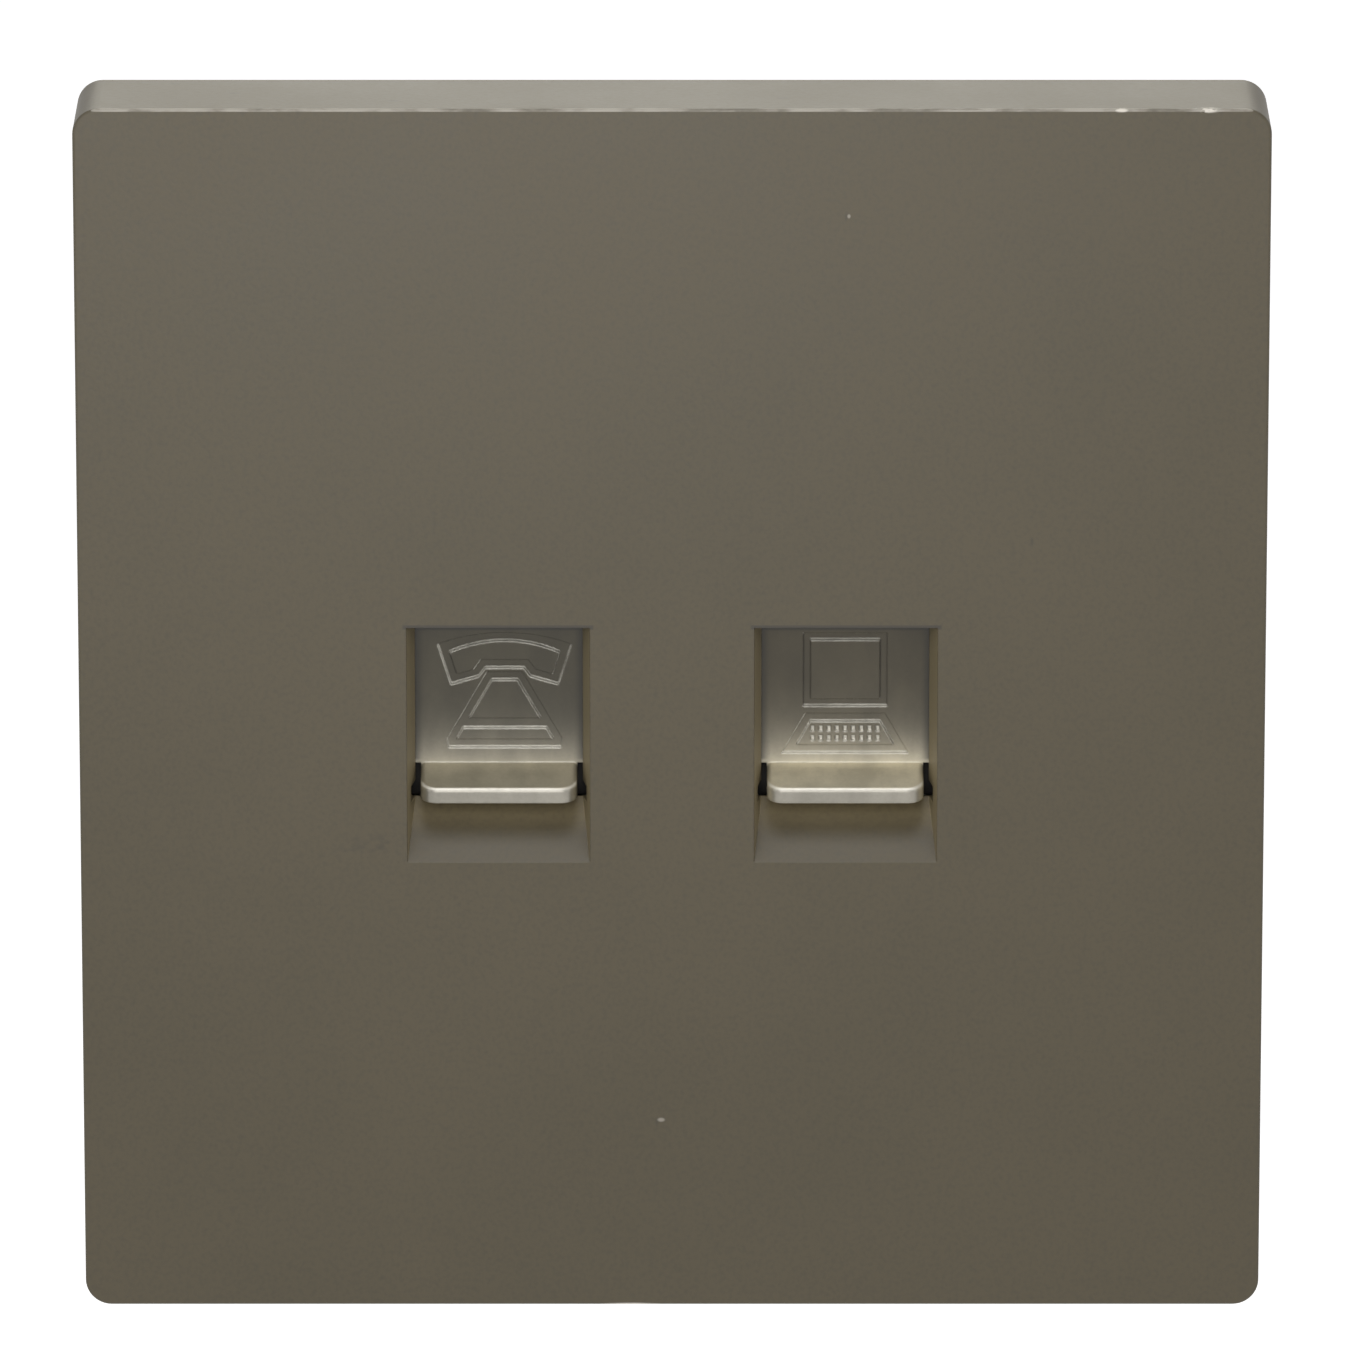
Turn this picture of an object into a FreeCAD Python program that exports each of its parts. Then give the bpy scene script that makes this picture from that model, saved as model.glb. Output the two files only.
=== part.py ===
import FreeCAD, Part
import os
import Sketcher

# Wall socket for a telephone and a computer line, on a square plate with two sprung shutters.
#
# Units are millimetres. The origin is on the wall, behind the middle of the plate.
# +X is right, +Z is up, and the front of the socket faces -Y.
# A depth is a distance in front of the wall: depth 5 is at y = -5, depth -5 is inside the wall.
# Each half of the socket is drawn about its own middle and then moved sideways into its place.

SIZES = {
    # cover plate
    "plate_width": 86.0,
    "plate_height": 90.0,
    "plate_front": 9.6,
    "plate_corner": 1.9,
    "plate_edge_round": 0.2,
    "plate_wall_gap": 0.3,
    "front_wall": 2.0,
    "skirt_wall": 1.6,
    "cover_rib_height": 1.6,
    "cover_rib_width": 1.0,
    "cover_level_rib_inset": 13.0,
    "cover_upright_rib_inset": 6.6,
    "barb_at": 24.0,
    "barb_width": 8.0,
    "barb_reach": 0.8,
    "barb_depth": 3.2,
    "barb_length": 1.6,
    "pry_width": 10.0,
    "pry_height": 1.3,
    # windows of the cover plate
    "module_spacing": 3.0,
    "window_width": 13.3,
    "window_top": 6.45,
    "window_foot": 11.2,
    "window_draft": 0.55,
    "window_top_draft": 0.1,
    "ramp_head": 7.25,
    "collar_wall": 1.2,
    "collar_gap": 0.3,
    "notch_height": 1.2,
    # mounting frame
    "cover_gap": 0.3,
    "frame_base": 2.2,
    "frame_corner": 1.6,
    "rim_wall": 1.6,
    "barb_gap": 0.4,
    "screw_spacing": 60.3,
    "slot_width": 4.4,
    "slot_length": 7.4,
    "boss_wall": 1.8,
    "frame_rib": 1.0,
    "frame_rib_at": 14.0,
    "tub_front": 3.0,
    "tub_depth": 4.0,
    "tub_wall": 1.5,
    "cell_gap": 0.2,
    # housings
    "module_width": 22.2,
    "module_height": 43.6,
    "flange_thickness": 1.2,
    "flange_reach": 0.9,
    "front_plate": 2.0,
    "housing_wall": 1.2,
    "housing_back": 1.6,
    "latch_width": 6.0,
    "latch_slit": 0.8,
    "latch_reach": 0.6,
    "latch_length": 1.0,
    "latch_gap": 0.2,
    # shutters
    "shutter_width": 17.0,
    "shutter_top": 8.1,
    "shutter_foot": 4.85,
    "shutter_thickness": 1.0,
    "shutter_corner": 0.8,
    "shutter_travel": 10.4,
    "slide_gap": 0.2,
    "lip_width": 11.4,
    "lip_setback": 0.6,
    "lip_fall": 0.98,
    "lip_face": 1.08,
    "lip_root": 1.45,
    "lip_corner": 1.2,
    "lip_edge_round": 0.35,
    "spigot_width": 0.9,
    "spigot_height": 1.4,
    # pictures pressed into the shutters
    "picture_unit": 1.0,
    "telephone_shift": 0.42,
    "picture_lift": 0.58,
    "picture_stroke": 0.62,
    "picture_depth": 0.36,
    "key_width": 0.26,
    "key_height": 0.42,
    "key_spacing": 0.593,
    "key_columns": 9,
    # shutter guides
    "guide_width": 21.2,
    "guide_foot": 13.0,
    "guide_front": 0.9,
    "spring_cover": 0.8,
    "spring_cover_width": 5.2,
    "peg_across": 8.4,
    "peg_width": 1.6,
    "peg_length": 1.6,
    "peg_gap": 0.1,
    # springs
    "spring_radius": 1.2,
    "spring_wire": 0.3,
    "spring_turns": 4.0,
    "spring_room": 12.9,
    "spring_gap": 0.25,
    "spring_end_gap": 0.1,
    # jacks
    "jack_width": 14.6,
    "jack_top": 5.9,
    "jack_foot": 7.6,
    "jack_length": 13.6,
    "jack_gap": 0.2,
    "shoulder_reach": 0.8,
    "shoulder_length": 1.4,
    "plug_top": 3.3,
    "plug_foot": 3.5,
    "plug_depth": 12.4,
    "telephone_plug_width": 9.7,
    "computer_plug_width": 11.8,
    "lintel": 2.4,
    "lintel_drop": 1.4,
    "latch_step_width": 6.3,
    "latch_step_height": 1.4,
    "latch_well_width": 3.3,
    "latch_well_height": 1.3,
    "latch_well_depth": 10.0,
    "carrier_gap": 0.1,
    # contact wires
    "contact_wire": 0.35,
    "contact_spacing": 1.02,
    "contact_bend": 0.25,
    "contact_tip": 1.05,
    "contact_reach": 7.9,
    "contact_tail": 1.0,
    "groove_gap": 0.05,
    "groove_floor": 0.3,
    "telephone_contact_count": 4,
    "computer_contact_count": 8,
    # circuit boards
    "board_width": 20.0,
    "board_top": 9.0,
    "board_foot": 11.0,
    "board_thickness": 1.2,
    "board_hole_gap": 0.06,
    "locator_radius": 0.8,
    "locator_across": 5.7,
    "locator_down": 6.0,
    # screw terminals behind the telephone board
    "terminal_width": 20.4,
    "terminal_top": 2.4,
    "terminal_foot": 10.6,
    "terminal_length": 7.5,
    "terminal_spacing": 5.0,
    "terminal_count": 4,
    "bay_width": 3.9,
    "bay_depth": 4.3,
    "bay_top": 1.6,
    "clamp_thickness": 0.8,
    "clamp_height": 4.8,
    "clamp_gap": 0.2,
    "screw_radius": 1.2,
    "screw_head_radius": 1.7,
    "screw_head": 1.5,
    "screw_length": 2.6,
    "screw_gap": 0.1,
    "driver_slot": 0.6,
    "driver_depth": 0.7,
    # wire block behind the computer board
    "wire_block_width": 17.8,
    "wire_block_top": 2.4,
    "wire_block_foot": 10.6,
    "wire_block_length": 8.0,
    "wire_spacing": 4.0,
    "wire_count": 4,
    "wire_slot": 1.1,
    "wire_slot_depth": 5.5,
    "wire_slot_reach": 5.0,
    "blade_width": 2.8,
    "blade_thickness": 0.4,
    "blade_length": 5.5,
    "blade_slit": 0.4,
    "blade_slit_depth": 3.6,
    "blade_leg": 0.8,
    "blade_inset": 2.1,
    "blade_gap": 0.1,
    "cap_thickness": 1.6,
    "cap_side": 1.0,
    "cap_reach": 4.0,
    "cap_gap": 0.2,
    "pusher_width": 0.8,
    "pusher_length": 1.6,
    "pusher_reach": 1.6,
}

doc = FreeCAD.newDocument("WallSocket")
sheet = doc.addObject("Spreadsheet::Sheet", "Sizes")


class Size:
    """A length that holds its number and the formula which ties it to the sheet."""

    def __init__(self, number, formula):
        self.number = number
        self.formula = formula

    def __add__(self, other):
        other = as_size(other)
        return Size(self.number + other.number, f"({self.formula} + {other.formula})")

    def __sub__(self, other):
        other = as_size(other)
        return Size(self.number - other.number, f"({self.formula} - {other.formula})")

    def __mul__(self, other):
        other = as_size(other)
        return Size(self.number * other.number, f"({self.formula} * {other.formula})")

    def __truediv__(self, other):
        other = as_size(other)
        return Size(self.number / other.number, f"({self.formula} / {other.formula})")

    def __neg__(self):
        return as_size(0.0) - self

    def __radd__(self, other):
        return as_size(other) + self

    def __rsub__(self, other):
        return as_size(other) - self

    def __rmul__(self, other):
        return as_size(other) * self


def as_size(value):
    """Turn a plain number into a Size, and leave a Size as it is."""
    if isinstance(value, Size):
        return value
    return Size(float(value), f"({float(value)!r})")


class Dimensions:
    """The driving sizes, read by name from the sheet."""

    def __init__(self, values):
        for row, (name, value) in enumerate(values.items(), start=1):
            sheet.set(f"A{row}", name)
            sheet.set(f"B{row}", str(value))
            sheet.setAlias(f"B{row}", name)
        doc.recompute()

    def __getattr__(self, name):
        return Size(float(sheet.get(name)), f"Sizes.{name}")


d = Dimensions(SIZES)


# Outlines. Each is a closed loop of corners, or a circle or a slot, in the plane of a sketch.

class Loop:
    """A closed outline through corners; a third number bows the edge after a corner outwards."""

    def __init__(self, *corners):
        self.corners = corners

    def inset(self, distance):
        """The same outline, drawn anticlockwise, with every edge moved inwards by a distance."""
        moved = []
        for i, corner in enumerate(self.corners):
            before = heading(self.corners[i - 1], corner)
            after = heading(corner, self.corners[(i + 1) % len(self.corners)])
            share = 1 / (1 + before.x * after.x + before.y * after.y)
            across = corner[0] - distance * ((before.y + after.y) * share)
            up = corner[1] + distance * ((before.x + after.x) * share)
            moved.append((across, up) + tuple(corner[2:]))
        return Loop(*moved)

    def draw(self, sketch):
        points = [(as_size(c[0]), as_size(c[1])) for c in self.corners]
        bows = [c[2] if len(c) > 2 else None for c in self.corners]
        first = sketch.GeometryCount
        count = len(points)
        for i in range(count):
            start = FreeCAD.Vector(points[i][0].number, points[i][1].number, 0)
            after = points[(i + 1) % count]
            end = FreeCAD.Vector(after[0].number, after[1].number, 0)
            if bows[i] is None:
                sketch.addGeometry(Part.LineSegment(start, end), False)
                continue
            across = (end - start).normalize()
            middle = (start + end) / 2 + FreeCAD.Vector(-across.y, across.x, 0) * as_size(bows[i]).number
            sketch.addGeometry(Part.Arc(start, middle, end), False)
        starts = []
        ends = []
        for i in range(count):
            geometry = sketch.Geometry[first + i]
            start = FreeCAD.Vector(points[i][0].number, points[i][1].number, 0)
            forward = bows[i] is None or geometry.StartPoint.distanceToPoint(start) < 1e-6
            starts.append(1 if forward else 2)
            ends.append(2 if forward else 1)
        for i in range(count):
            after = (i + 1) % count
            sketch.addConstraint(
                Sketcher.Constraint("Coincident", first + i, ends[i], first + after, starts[after])
            )
            hold_point(sketch, first + i, starts[i], points[i][0], points[i][1])
        for i in range(count):
            if bows[i] is not None:
                after = points[(i + 1) % count]
                across = after[0] - points[i][0]
                up = after[1] - points[i][1]
                bow = as_size(bows[i])
                radius = (across * across / 4 + up * up / 4 + bow * bow) / (bow * 2)
                if radius.number < 0:
                    radius = -radius
                index = sketch.addConstraint(Sketcher.Constraint("Radius", first + i, radius.number))
                sketch.setExpression(f"Constraints[{index}]", radius.formula)


class Disc:
    """A circle about a centre."""

    def __init__(self, across, up, radius):
        self.across = as_size(across)
        self.up = as_size(up)
        self.radius = as_size(radius)

    def draw(self, sketch):
        centre = FreeCAD.Vector(self.across.number, self.up.number, 0)
        circle = Part.Circle(centre, FreeCAD.Vector(0, 0, 1), self.radius.number)
        index = sketch.addGeometry(circle, False)
        hold_point(sketch, index, 3, self.across, self.up)
        held = sketch.addConstraint(Sketcher.Constraint("Radius", index, self.radius.number))
        sketch.setExpression(f"Constraints[{held}]", self.radius.formula)


class Slot:
    """A level slot with round ends, about its centre."""

    def __init__(self, across, up, length, radius):
        self.across = as_size(across)
        self.up = as_size(up)
        self.reach = as_size(length) / 2 - as_size(radius)
        self.radius = as_size(radius)

    def draw(self, sketch):
        first = sketch.GeometryCount
        left = self.across - self.reach
        right = self.across + self.reach
        low = self.up - self.radius
        high = self.up + self.radius
        corners = [(left, low), (right, low), (right, high), (left, high)]
        near = [FreeCAD.Vector(x.number, z.number, 0) for x, z in corners]
        tip_right = FreeCAD.Vector((right + self.radius).number, self.up.number, 0)
        tip_left = FreeCAD.Vector((left - self.radius).number, self.up.number, 0)
        sketch.addGeometry(Part.LineSegment(near[0], near[1]), False)
        sketch.addGeometry(Part.Arc(near[1], tip_right, near[2]), False)
        sketch.addGeometry(Part.LineSegment(near[2], near[3]), False)
        sketch.addGeometry(Part.Arc(near[3], tip_left, near[0]), False)
        for i in range(4):
            after = first + (i + 1) % 4
            sketch.addConstraint(Sketcher.Constraint("Tangent", first + i, 2, after, 1))
        sketch.addConstraint(Sketcher.Constraint("Equal", first + 1, first + 3))
        hold_point(sketch, first + 1, 3, right, self.up)
        hold_point(sketch, first + 3, 3, left, self.up)
        index = sketch.addConstraint(Sketcher.Constraint("Radius", first + 1, self.radius.number))
        sketch.setExpression(f"Constraints[{index}]", self.radius.formula)


def heading(start, end):
    """The direction from one corner of an outline to the next."""
    across = as_size(end[0]) - start[0]
    up = as_size(end[1]) - start[1]
    return FreeCAD.Vector(across.number, up.number, 0).normalize()


def hold_point(sketch, geometry, point, across, up):
    """Fix one point of a sketch by its two distances from the sketch's origin."""
    for kind, size in (("DistanceX", across), ("DistanceY", up)):
        index = sketch.addConstraint(Sketcher.Constraint(kind, -1, 1, geometry, point, size.number))
        sketch.setExpression(f"Constraints[{index}]", size.formula)


def box(left, right, low, high):
    """A rectangle between two sides, a foot and a top."""
    return Loop((left, low), (right, low), (right, high), (left, high))


def centred(width, low, high):
    """A rectangle that is symmetrical about the middle."""
    half = as_size(width) / 2
    return box(-half, half, low, high)


def oblong(width, height):
    """A rectangle about the origin."""
    return centred(width, -as_size(height) / 2, as_size(height) / 2)


class Piece:
    """One moulding or metal part of the socket, built up feature by feature in its own body."""

    def __init__(self, name, middle=0.0):
        self.name = name
        self.count = 0
        self.body = doc.addObject("PartDesign::Body", name)
        self.body.Label = name
        self.body.AllowCompound = True
        self.body.Placement = FreeCAD.Placement()
        self.body.setExpression("Placement.Base.x", as_size(middle).formula)

    def datum(self, role):
        """The body's own origin plane or axis with this role."""
        found = [f for f in self.body.Origin.OriginFeatures if f.Role == role]
        return found[0]

    def sketch(self, outlines, role, offset):
        """Outlines on an origin plane, moved along the plane's normal."""
        self.count += 1
        sketch = self.body.newObject("Sketcher::SketchObject", f"{self.name}_sketch_{self.count}")
        sketch.AttachmentSupport = [(self.datum(role), "")]
        sketch.MapMode = "FlatFace"
        offset = as_size(offset)
        sketch.AttachmentOffset = FreeCAD.Placement(FreeCAD.Vector(0, 0, offset.number), FreeCAD.Rotation())
        sketch.setExpression("AttachmentOffset.Base.z", offset.formula)
        for outline in outlines:
            outline.draw(sketch)
        return sketch

    def feature(self, kind, title):
        """A new feature of the body, labelled with what it makes."""
        feature = self.body.newObject(f"PartDesign::{kind}", f"{self.name}_{title}")
        feature.Label = f"{self.name} {title}"
        return feature

    def pad(self, title, outlines, back, front):
        """Fill outlines seen from the front, from one depth forward to another."""
        pad = self.feature("Pad", title)
        pad.Profile = self.sketch(outlines, "XZ_Plane", back)
        bind(pad, "Length", as_size(front) - back)
        self.body.Tip = pad
        return pad

    def pocket(self, title, outlines, back, front):
        """Cut outlines seen from the front, from one depth back to another."""
        doc.recompute()
        before = self.body.Shape.Volume
        pocket = self.feature("Pocket", title)
        pocket.Profile = self.sketch(outlines, "XZ_Plane", front)
        bind(pocket, "Length", as_size(front) - back)
        self.body.Tip = pocket
        doc.recompute()
        if self.body.Shape.Volume > before - 1e-6:
            raise RuntimeError(f"{pocket.Label} cuts nothing")
        return pocket

    def side_pad(self, title, corners, middle, width):
        """Fill a side profile, given as (depth, height) corners, over a width about a middle."""
        profile = Loop(*[(-as_size(c[0]), c[1]) for c in corners])
        pad = self.feature("Pad", title)
        pad.Profile = self.sketch([profile], "YZ_Plane", middle)
        pad.SideType = "Symmetric"
        bind(pad, "Length", width)
        self.body.Tip = pad
        return pad

    def loft(self, title, kind, rear, rear_depth, front, front_depth):
        """A straight-sided taper between an outline at the rear and one at the front."""
        loft = self.feature(kind, title)
        loft.Profile = self.sketch([rear], "XZ_Plane", rear_depth)
        loft.Sections = [self.sketch([front], "XZ_Plane", front_depth)]
        loft.Ruled = True
        self.body.Tip = loft
        return loft

    def repeat(self, title, features, step, count):
        """Copies of features along X, a step apart."""
        pattern = self.feature("LinearPattern", title)
        pattern.Originals = features
        pattern.Direction = (self.datum("X_Axis"), [""])
        bind(pattern, "Length", as_size(step) * (as_size(count) - 1))
        pattern.Occurrences = int(as_size(count).number)
        self.body.Tip = pattern
        return pattern

    def edges(self, wanted):
        """The names of the edges of the body so far that a test picks."""
        doc.recompute()
        found = [f"Edge{i}" for i, e in enumerate(self.body.Tip.Shape.Edges, start=1) if wanted(e)]
        if not found:
            raise RuntimeError(f"{self.name} has no edge of this kind")
        return found

    def fillet(self, title, wanted, radius):
        """Round the edges that a test picks."""
        base = (self.body.Tip, self.edges(wanted))
        fillet = self.feature("Fillet", title)
        fillet.Base = base
        bind(fillet, "Radius", radius)
        self.body.Tip = fillet
        return fillet


def bind(feature, name, size):
    """Give a feature's length its number and its formula."""
    size = as_size(size)
    setattr(feature, name, size.number)
    feature.setExpression(name, size.formula)


def runs_along(edge, axis):
    """Whether an edge is straight and parallel to an axis."""
    if not isinstance(edge.Curve, Part.Line):
        return False
    return abs(edge.Curve.Direction.dot(axis)) > 0.999


def ends_at(edge, x=None, z=None, depth=None):
    """Whether an edge lies at these distances from the middle, taken without their sign, and depth."""
    centre = edge.BoundBox.Center
    near = x is None or abs(abs(centre.x) - as_size(x).number) < 0.01
    near = near and (z is None or abs(abs(centre.z) - as_size(z).number) < 0.01)
    return near and (depth is None or abs(centre.y + as_size(depth).number) < 0.01)


Y_AXIS = FreeCAD.Vector(0, 1, 0)
Z_AXIS = FreeCAD.Vector(0, 0, 1)
SIDES = {"left": -1, "right": 1}
ENDS = {"lower": -1, "upper": 1}

# Places that several pieces share, all worked out from the driving sizes.
cover_inner = d.plate_width - d.skirt_wall * 2
cover_tall = d.plate_height - d.skirt_wall * 2
cover_back = d.plate_front - d.front_wall
frame_width = cover_inner - d.cover_gap * 2
frame_height = cover_tall - d.cover_gap * 2
rim_front = cover_back - d.cover_gap
rim_inner = frame_width - d.rim_wall * 2
rim_tall = frame_height - d.rim_wall * 2
housing_front = d.tub_front + d.flange_thickness
front_plate_back = housing_front - d.front_plate
shutter_back = housing_front + d.slide_gap
shutter_face = shutter_back + d.shutter_thickness
channel_front = shutter_face + d.slide_gap
guide_front = channel_front + d.guide_front
collar_end = shutter_face + d.collar_gap
lip_front = d.plate_front - d.lip_setback
module_middle = (d.module_width + d.module_spacing) / 2
cell_width = d.module_width + d.cell_gap * 2
cell_height = d.module_height + d.cell_gap * 2
tub_width = module_middle * 2 + cell_width + d.tub_wall * 2
tub_height = cell_height + d.tub_wall * 2
latch_catch = d.latch_length - d.housing_back
spring_depth = shutter_back + d.shutter_thickness / 2
spring_room_half = d.spring_radius + d.spring_wire / 2 + d.spring_gap
spring_seat = d.shutter_top + d.spring_room
channel_top = d.shutter_top + d.shutter_travel + d.slide_gap
jack_back = housing_front - d.jack_length
plug_floor = housing_front - d.plug_depth
chamber_front = housing_front - d.lintel
chamber_top = d.plug_top + d.lintel_drop
tongue_low = d.plug_top + d.carrier_gap
wire_low = tongue_low + d.groove_floor
wire_high = wire_low + d.contact_wire
board_back = jack_back - d.board_thickness
terminal_back = board_back - d.terminal_length
terminal_first = d.terminal_spacing * (1 - d.terminal_count) / 2
bay_floor = terminal_back + d.bay_depth
clamp_back = bay_floor - d.clamp_thickness
screw_tip = clamp_back + d.screw_length
screw_height = d.bay_top - d.clamp_gap - d.clamp_height / 2
wire_block_back = board_back - d.wire_block_length
wire_first = d.wire_spacing * (1 - d.wire_count) / 2
blade_floor = wire_block_back + d.blade_length + d.blade_slit * 2


def taper(front, deep, depth):
    """A window's half width or height at a depth between the plate's face and the collar's end."""
    return front + (deep - front) * (d.plate_front - depth) / (d.plate_front - collar_end)


def window_half(depth):
    """Half the window's width at a depth."""
    return taper(d.window_width / 2, d.window_width / 2 - d.window_draft, depth)


def window_top(depth):
    """The height of the window's top at a depth."""
    return taper(d.window_top, d.window_top - d.window_top_draft, depth)


def window_foot(depth):
    """How far the ramp lies below the middle at a depth."""
    return taper(d.window_foot, d.ramp_head, depth)


def window_outline(depth, wall, middle):
    """The window's opening at a depth, grown by a wall."""
    half = window_half(depth) + wall
    return box(middle - half, middle + half, -window_foot(depth) - wall, window_top(depth) + wall)


def build_cover_plate():
    """The front plate: a shallow tray with two tapered windows, clipped over the frame."""
    cover = Piece("cover_plate")
    cover.pad("block", [oblong(d.plate_width, d.plate_height)], d.plate_wall_gap, d.plate_front)
    cover.fillet("corners", lambda e: runs_along(e, Y_AXIS), d.plate_corner)
    cover.pocket("hollow", [oblong(cover_inner, cover_tall)], d.plate_wall_gap, cover_back)

    # stiffening ribs behind the front wall, clear of the frame's rim and of both halves
    rib_back = cover_back - d.cover_rib_height
    rib_end = rim_inner / 2 - d.cover_gap
    rib_top = rim_tall / 2 - d.cover_gap
    half_rib = d.cover_rib_width / 2
    for name, side in SIDES.items():
        middle = (d.plate_width / 2 - d.cover_upright_rib_inset) * side
        outline = box(middle - half_rib, middle + half_rib, -rib_top, rib_top)
        cover.pad(f"{name}_rib", [outline], rib_back, cover_back)
    for name, end in ENDS.items():
        middle = (d.plate_height / 2 - d.cover_level_rib_inset) * end
        outline = box(-rib_end, rib_end, middle - half_rib, middle + half_rib)
        cover.pad(f"{name}_rib", [outline], rib_back, cover_back)

    # each window is a collar that reaches back to the shutter, with the tapered opening cut through
    for name, side in SIDES.items():
        middle = module_middle * side
        cover.loft(
            f"{name}_collar", "AdditiveLoft",
            window_outline(collar_end, d.collar_wall, middle), collar_end,
            window_outline(cover_back, d.collar_wall, middle), cover_back,
        )
        cover.loft(
            f"{name}_window", "SubtractiveLoft",
            window_outline(collar_end, 0, middle), collar_end,
            window_outline(d.plate_front, 0, middle), d.plate_front,
        )
        # the collar's sides are relieved beside the shutter's lip, just above the head of the ramp
        reach = window_half(cover_back) + d.collar_wall * 2
        cover.pocket(
            f"{name}_notch",
            [box(middle - reach, middle + reach, -d.ramp_head, d.notch_height - d.ramp_head)],
            collar_end, cover_back,
        )

    # barbs inside the skirt, which snap into the windows of the frame's rim
    inner = cover_tall / 2
    root = inner + d.skirt_wall / 2
    tip = inner - d.barb_reach
    barb_end = d.barb_depth + d.barb_length
    for name, side in SIDES.items():
        for end_name, end in ENDS.items():
            profile = [
                (d.barb_depth, root * end),
                (d.barb_depth, inner * end),
                (barb_end - d.barb_length / 2, tip * end),
                (barb_end, tip * end),
                (barb_end, root * end),
            ]
            cover.side_pad(f"{name}_{end_name}_barb", profile, d.barb_at * side, d.barb_width)

    # slot in the foot of the skirt for the blade that lifts the plate off
    pry_low = -d.plate_height / 2 - d.skirt_wall
    cover.pocket(
        "pry_slot", [centred(d.pry_width, pry_low, -inner)],
        d.plate_wall_gap, d.plate_wall_gap + d.pry_height,
    )

    def on_front_outline(edge):
        centre = edge.BoundBox.Center
        flat = edge.BoundBox.YLength < 0.01
        at_front = abs(centre.y + d.plate_front.number) < 0.01
        beyond_side = abs(centre.x) > (d.plate_width / 2 - d.plate_corner).number
        beyond_end = abs(centre.z) > (d.plate_height / 2 - d.plate_corner).number
        return flat and at_front and (beyond_side or beyond_end)

    cover.fillet("front_edge", on_front_outline, d.plate_edge_round)
    return cover


def build_mounting_frame():
    """The frame that is screwed to the wall box and carries both halves and the cover plate."""
    frame = Piece("mounting_frame")
    frame.pad("block", [oblong(frame_width, frame_height)], 0, rim_front)
    frame.fillet("corners", lambda e: runs_along(e, Y_AXIS), d.frame_corner)
    frame.pocket("tray", [oblong(rim_inner, rim_tall)], d.frame_base, rim_front)

    # ribs across the tray, and bosses round the screw slots
    half_rib = d.frame_rib / 2
    rib_end = rim_inner / 2
    rib_top = rim_tall / 2
    boss_length = d.slot_length + d.boss_wall * 2
    boss_radius = d.slot_width / 2 + d.boss_wall
    for name, side in SIDES.items():
        upright = module_middle * side
        frame.pad(
            f"{name}_upright_rib", [box(upright - half_rib, upright + half_rib, -rib_top, rib_top)],
            d.frame_base, d.tub_front,
        )
        frame.pad(
            f"{name}_boss", [Slot(d.screw_spacing / 2 * side, 0, boss_length, boss_radius)],
            d.frame_base, d.tub_front,
        )
    for name, end in ENDS.items():
        level = d.frame_rib_at * end
        frame.pad(
            f"{name}_level_rib", [box(-rib_end, rib_end, level - half_rib, level + half_rib)],
            d.frame_base, d.tub_front,
        )

    # the tub: a wall round two cells, from the flange seat to behind the wall's surface
    frame.pad("tub", [centred(tub_width, -tub_height / 2, tub_height / 2)], -d.tub_depth, d.tub_front)
    middles = [module_middle * side for side in SIDES.values()]
    frame.pocket(
        "cells",
        [box(m - cell_width / 2, m + cell_width / 2, -cell_height / 2, cell_height / 2) for m in middles],
        -d.tub_depth, rim_front,
    )
    frame.pocket(
        "screw_slots",
        [Slot(d.screw_spacing / 2 * side, 0, d.slot_length, d.slot_width / 2) for side in SIDES.values()],
        0, d.tub_front,
    )

    # windows in the tub for the latches of the two halves
    half_latch = d.latch_width / 2 + d.latch_gap
    frame.pocket(
        "upper_latch_windows",
        [box(m - half_latch, m + half_latch, cell_height / 2, tub_height / 2) for m in middles],
        latch_catch - d.latch_length - d.latch_gap, latch_catch + d.latch_gap,
    )
    frame.pocket(
        "lower_latch_windows",
        [box(m - half_latch, m + half_latch, -tub_height / 2, -cell_height / 2) for m in middles],
        latch_catch - d.latch_length - d.latch_gap, latch_catch + d.latch_gap,
    )

    # windows in the rim for the barbs of the cover plate
    half_barb = d.barb_width / 2 + d.barb_gap
    outer = frame_height / 2
    openings = []
    for side in SIDES.values():
        middle = d.barb_at * side
        openings.append(box(middle - half_barb, middle + half_barb, outer - d.rim_wall, outer))
        openings.append(box(middle - half_barb, middle + half_barb, -outer, d.rim_wall - outer))
    frame.pocket("barb_windows", openings, d.frame_base, d.barb_depth + d.barb_length + d.barb_gap)
    return frame


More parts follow.
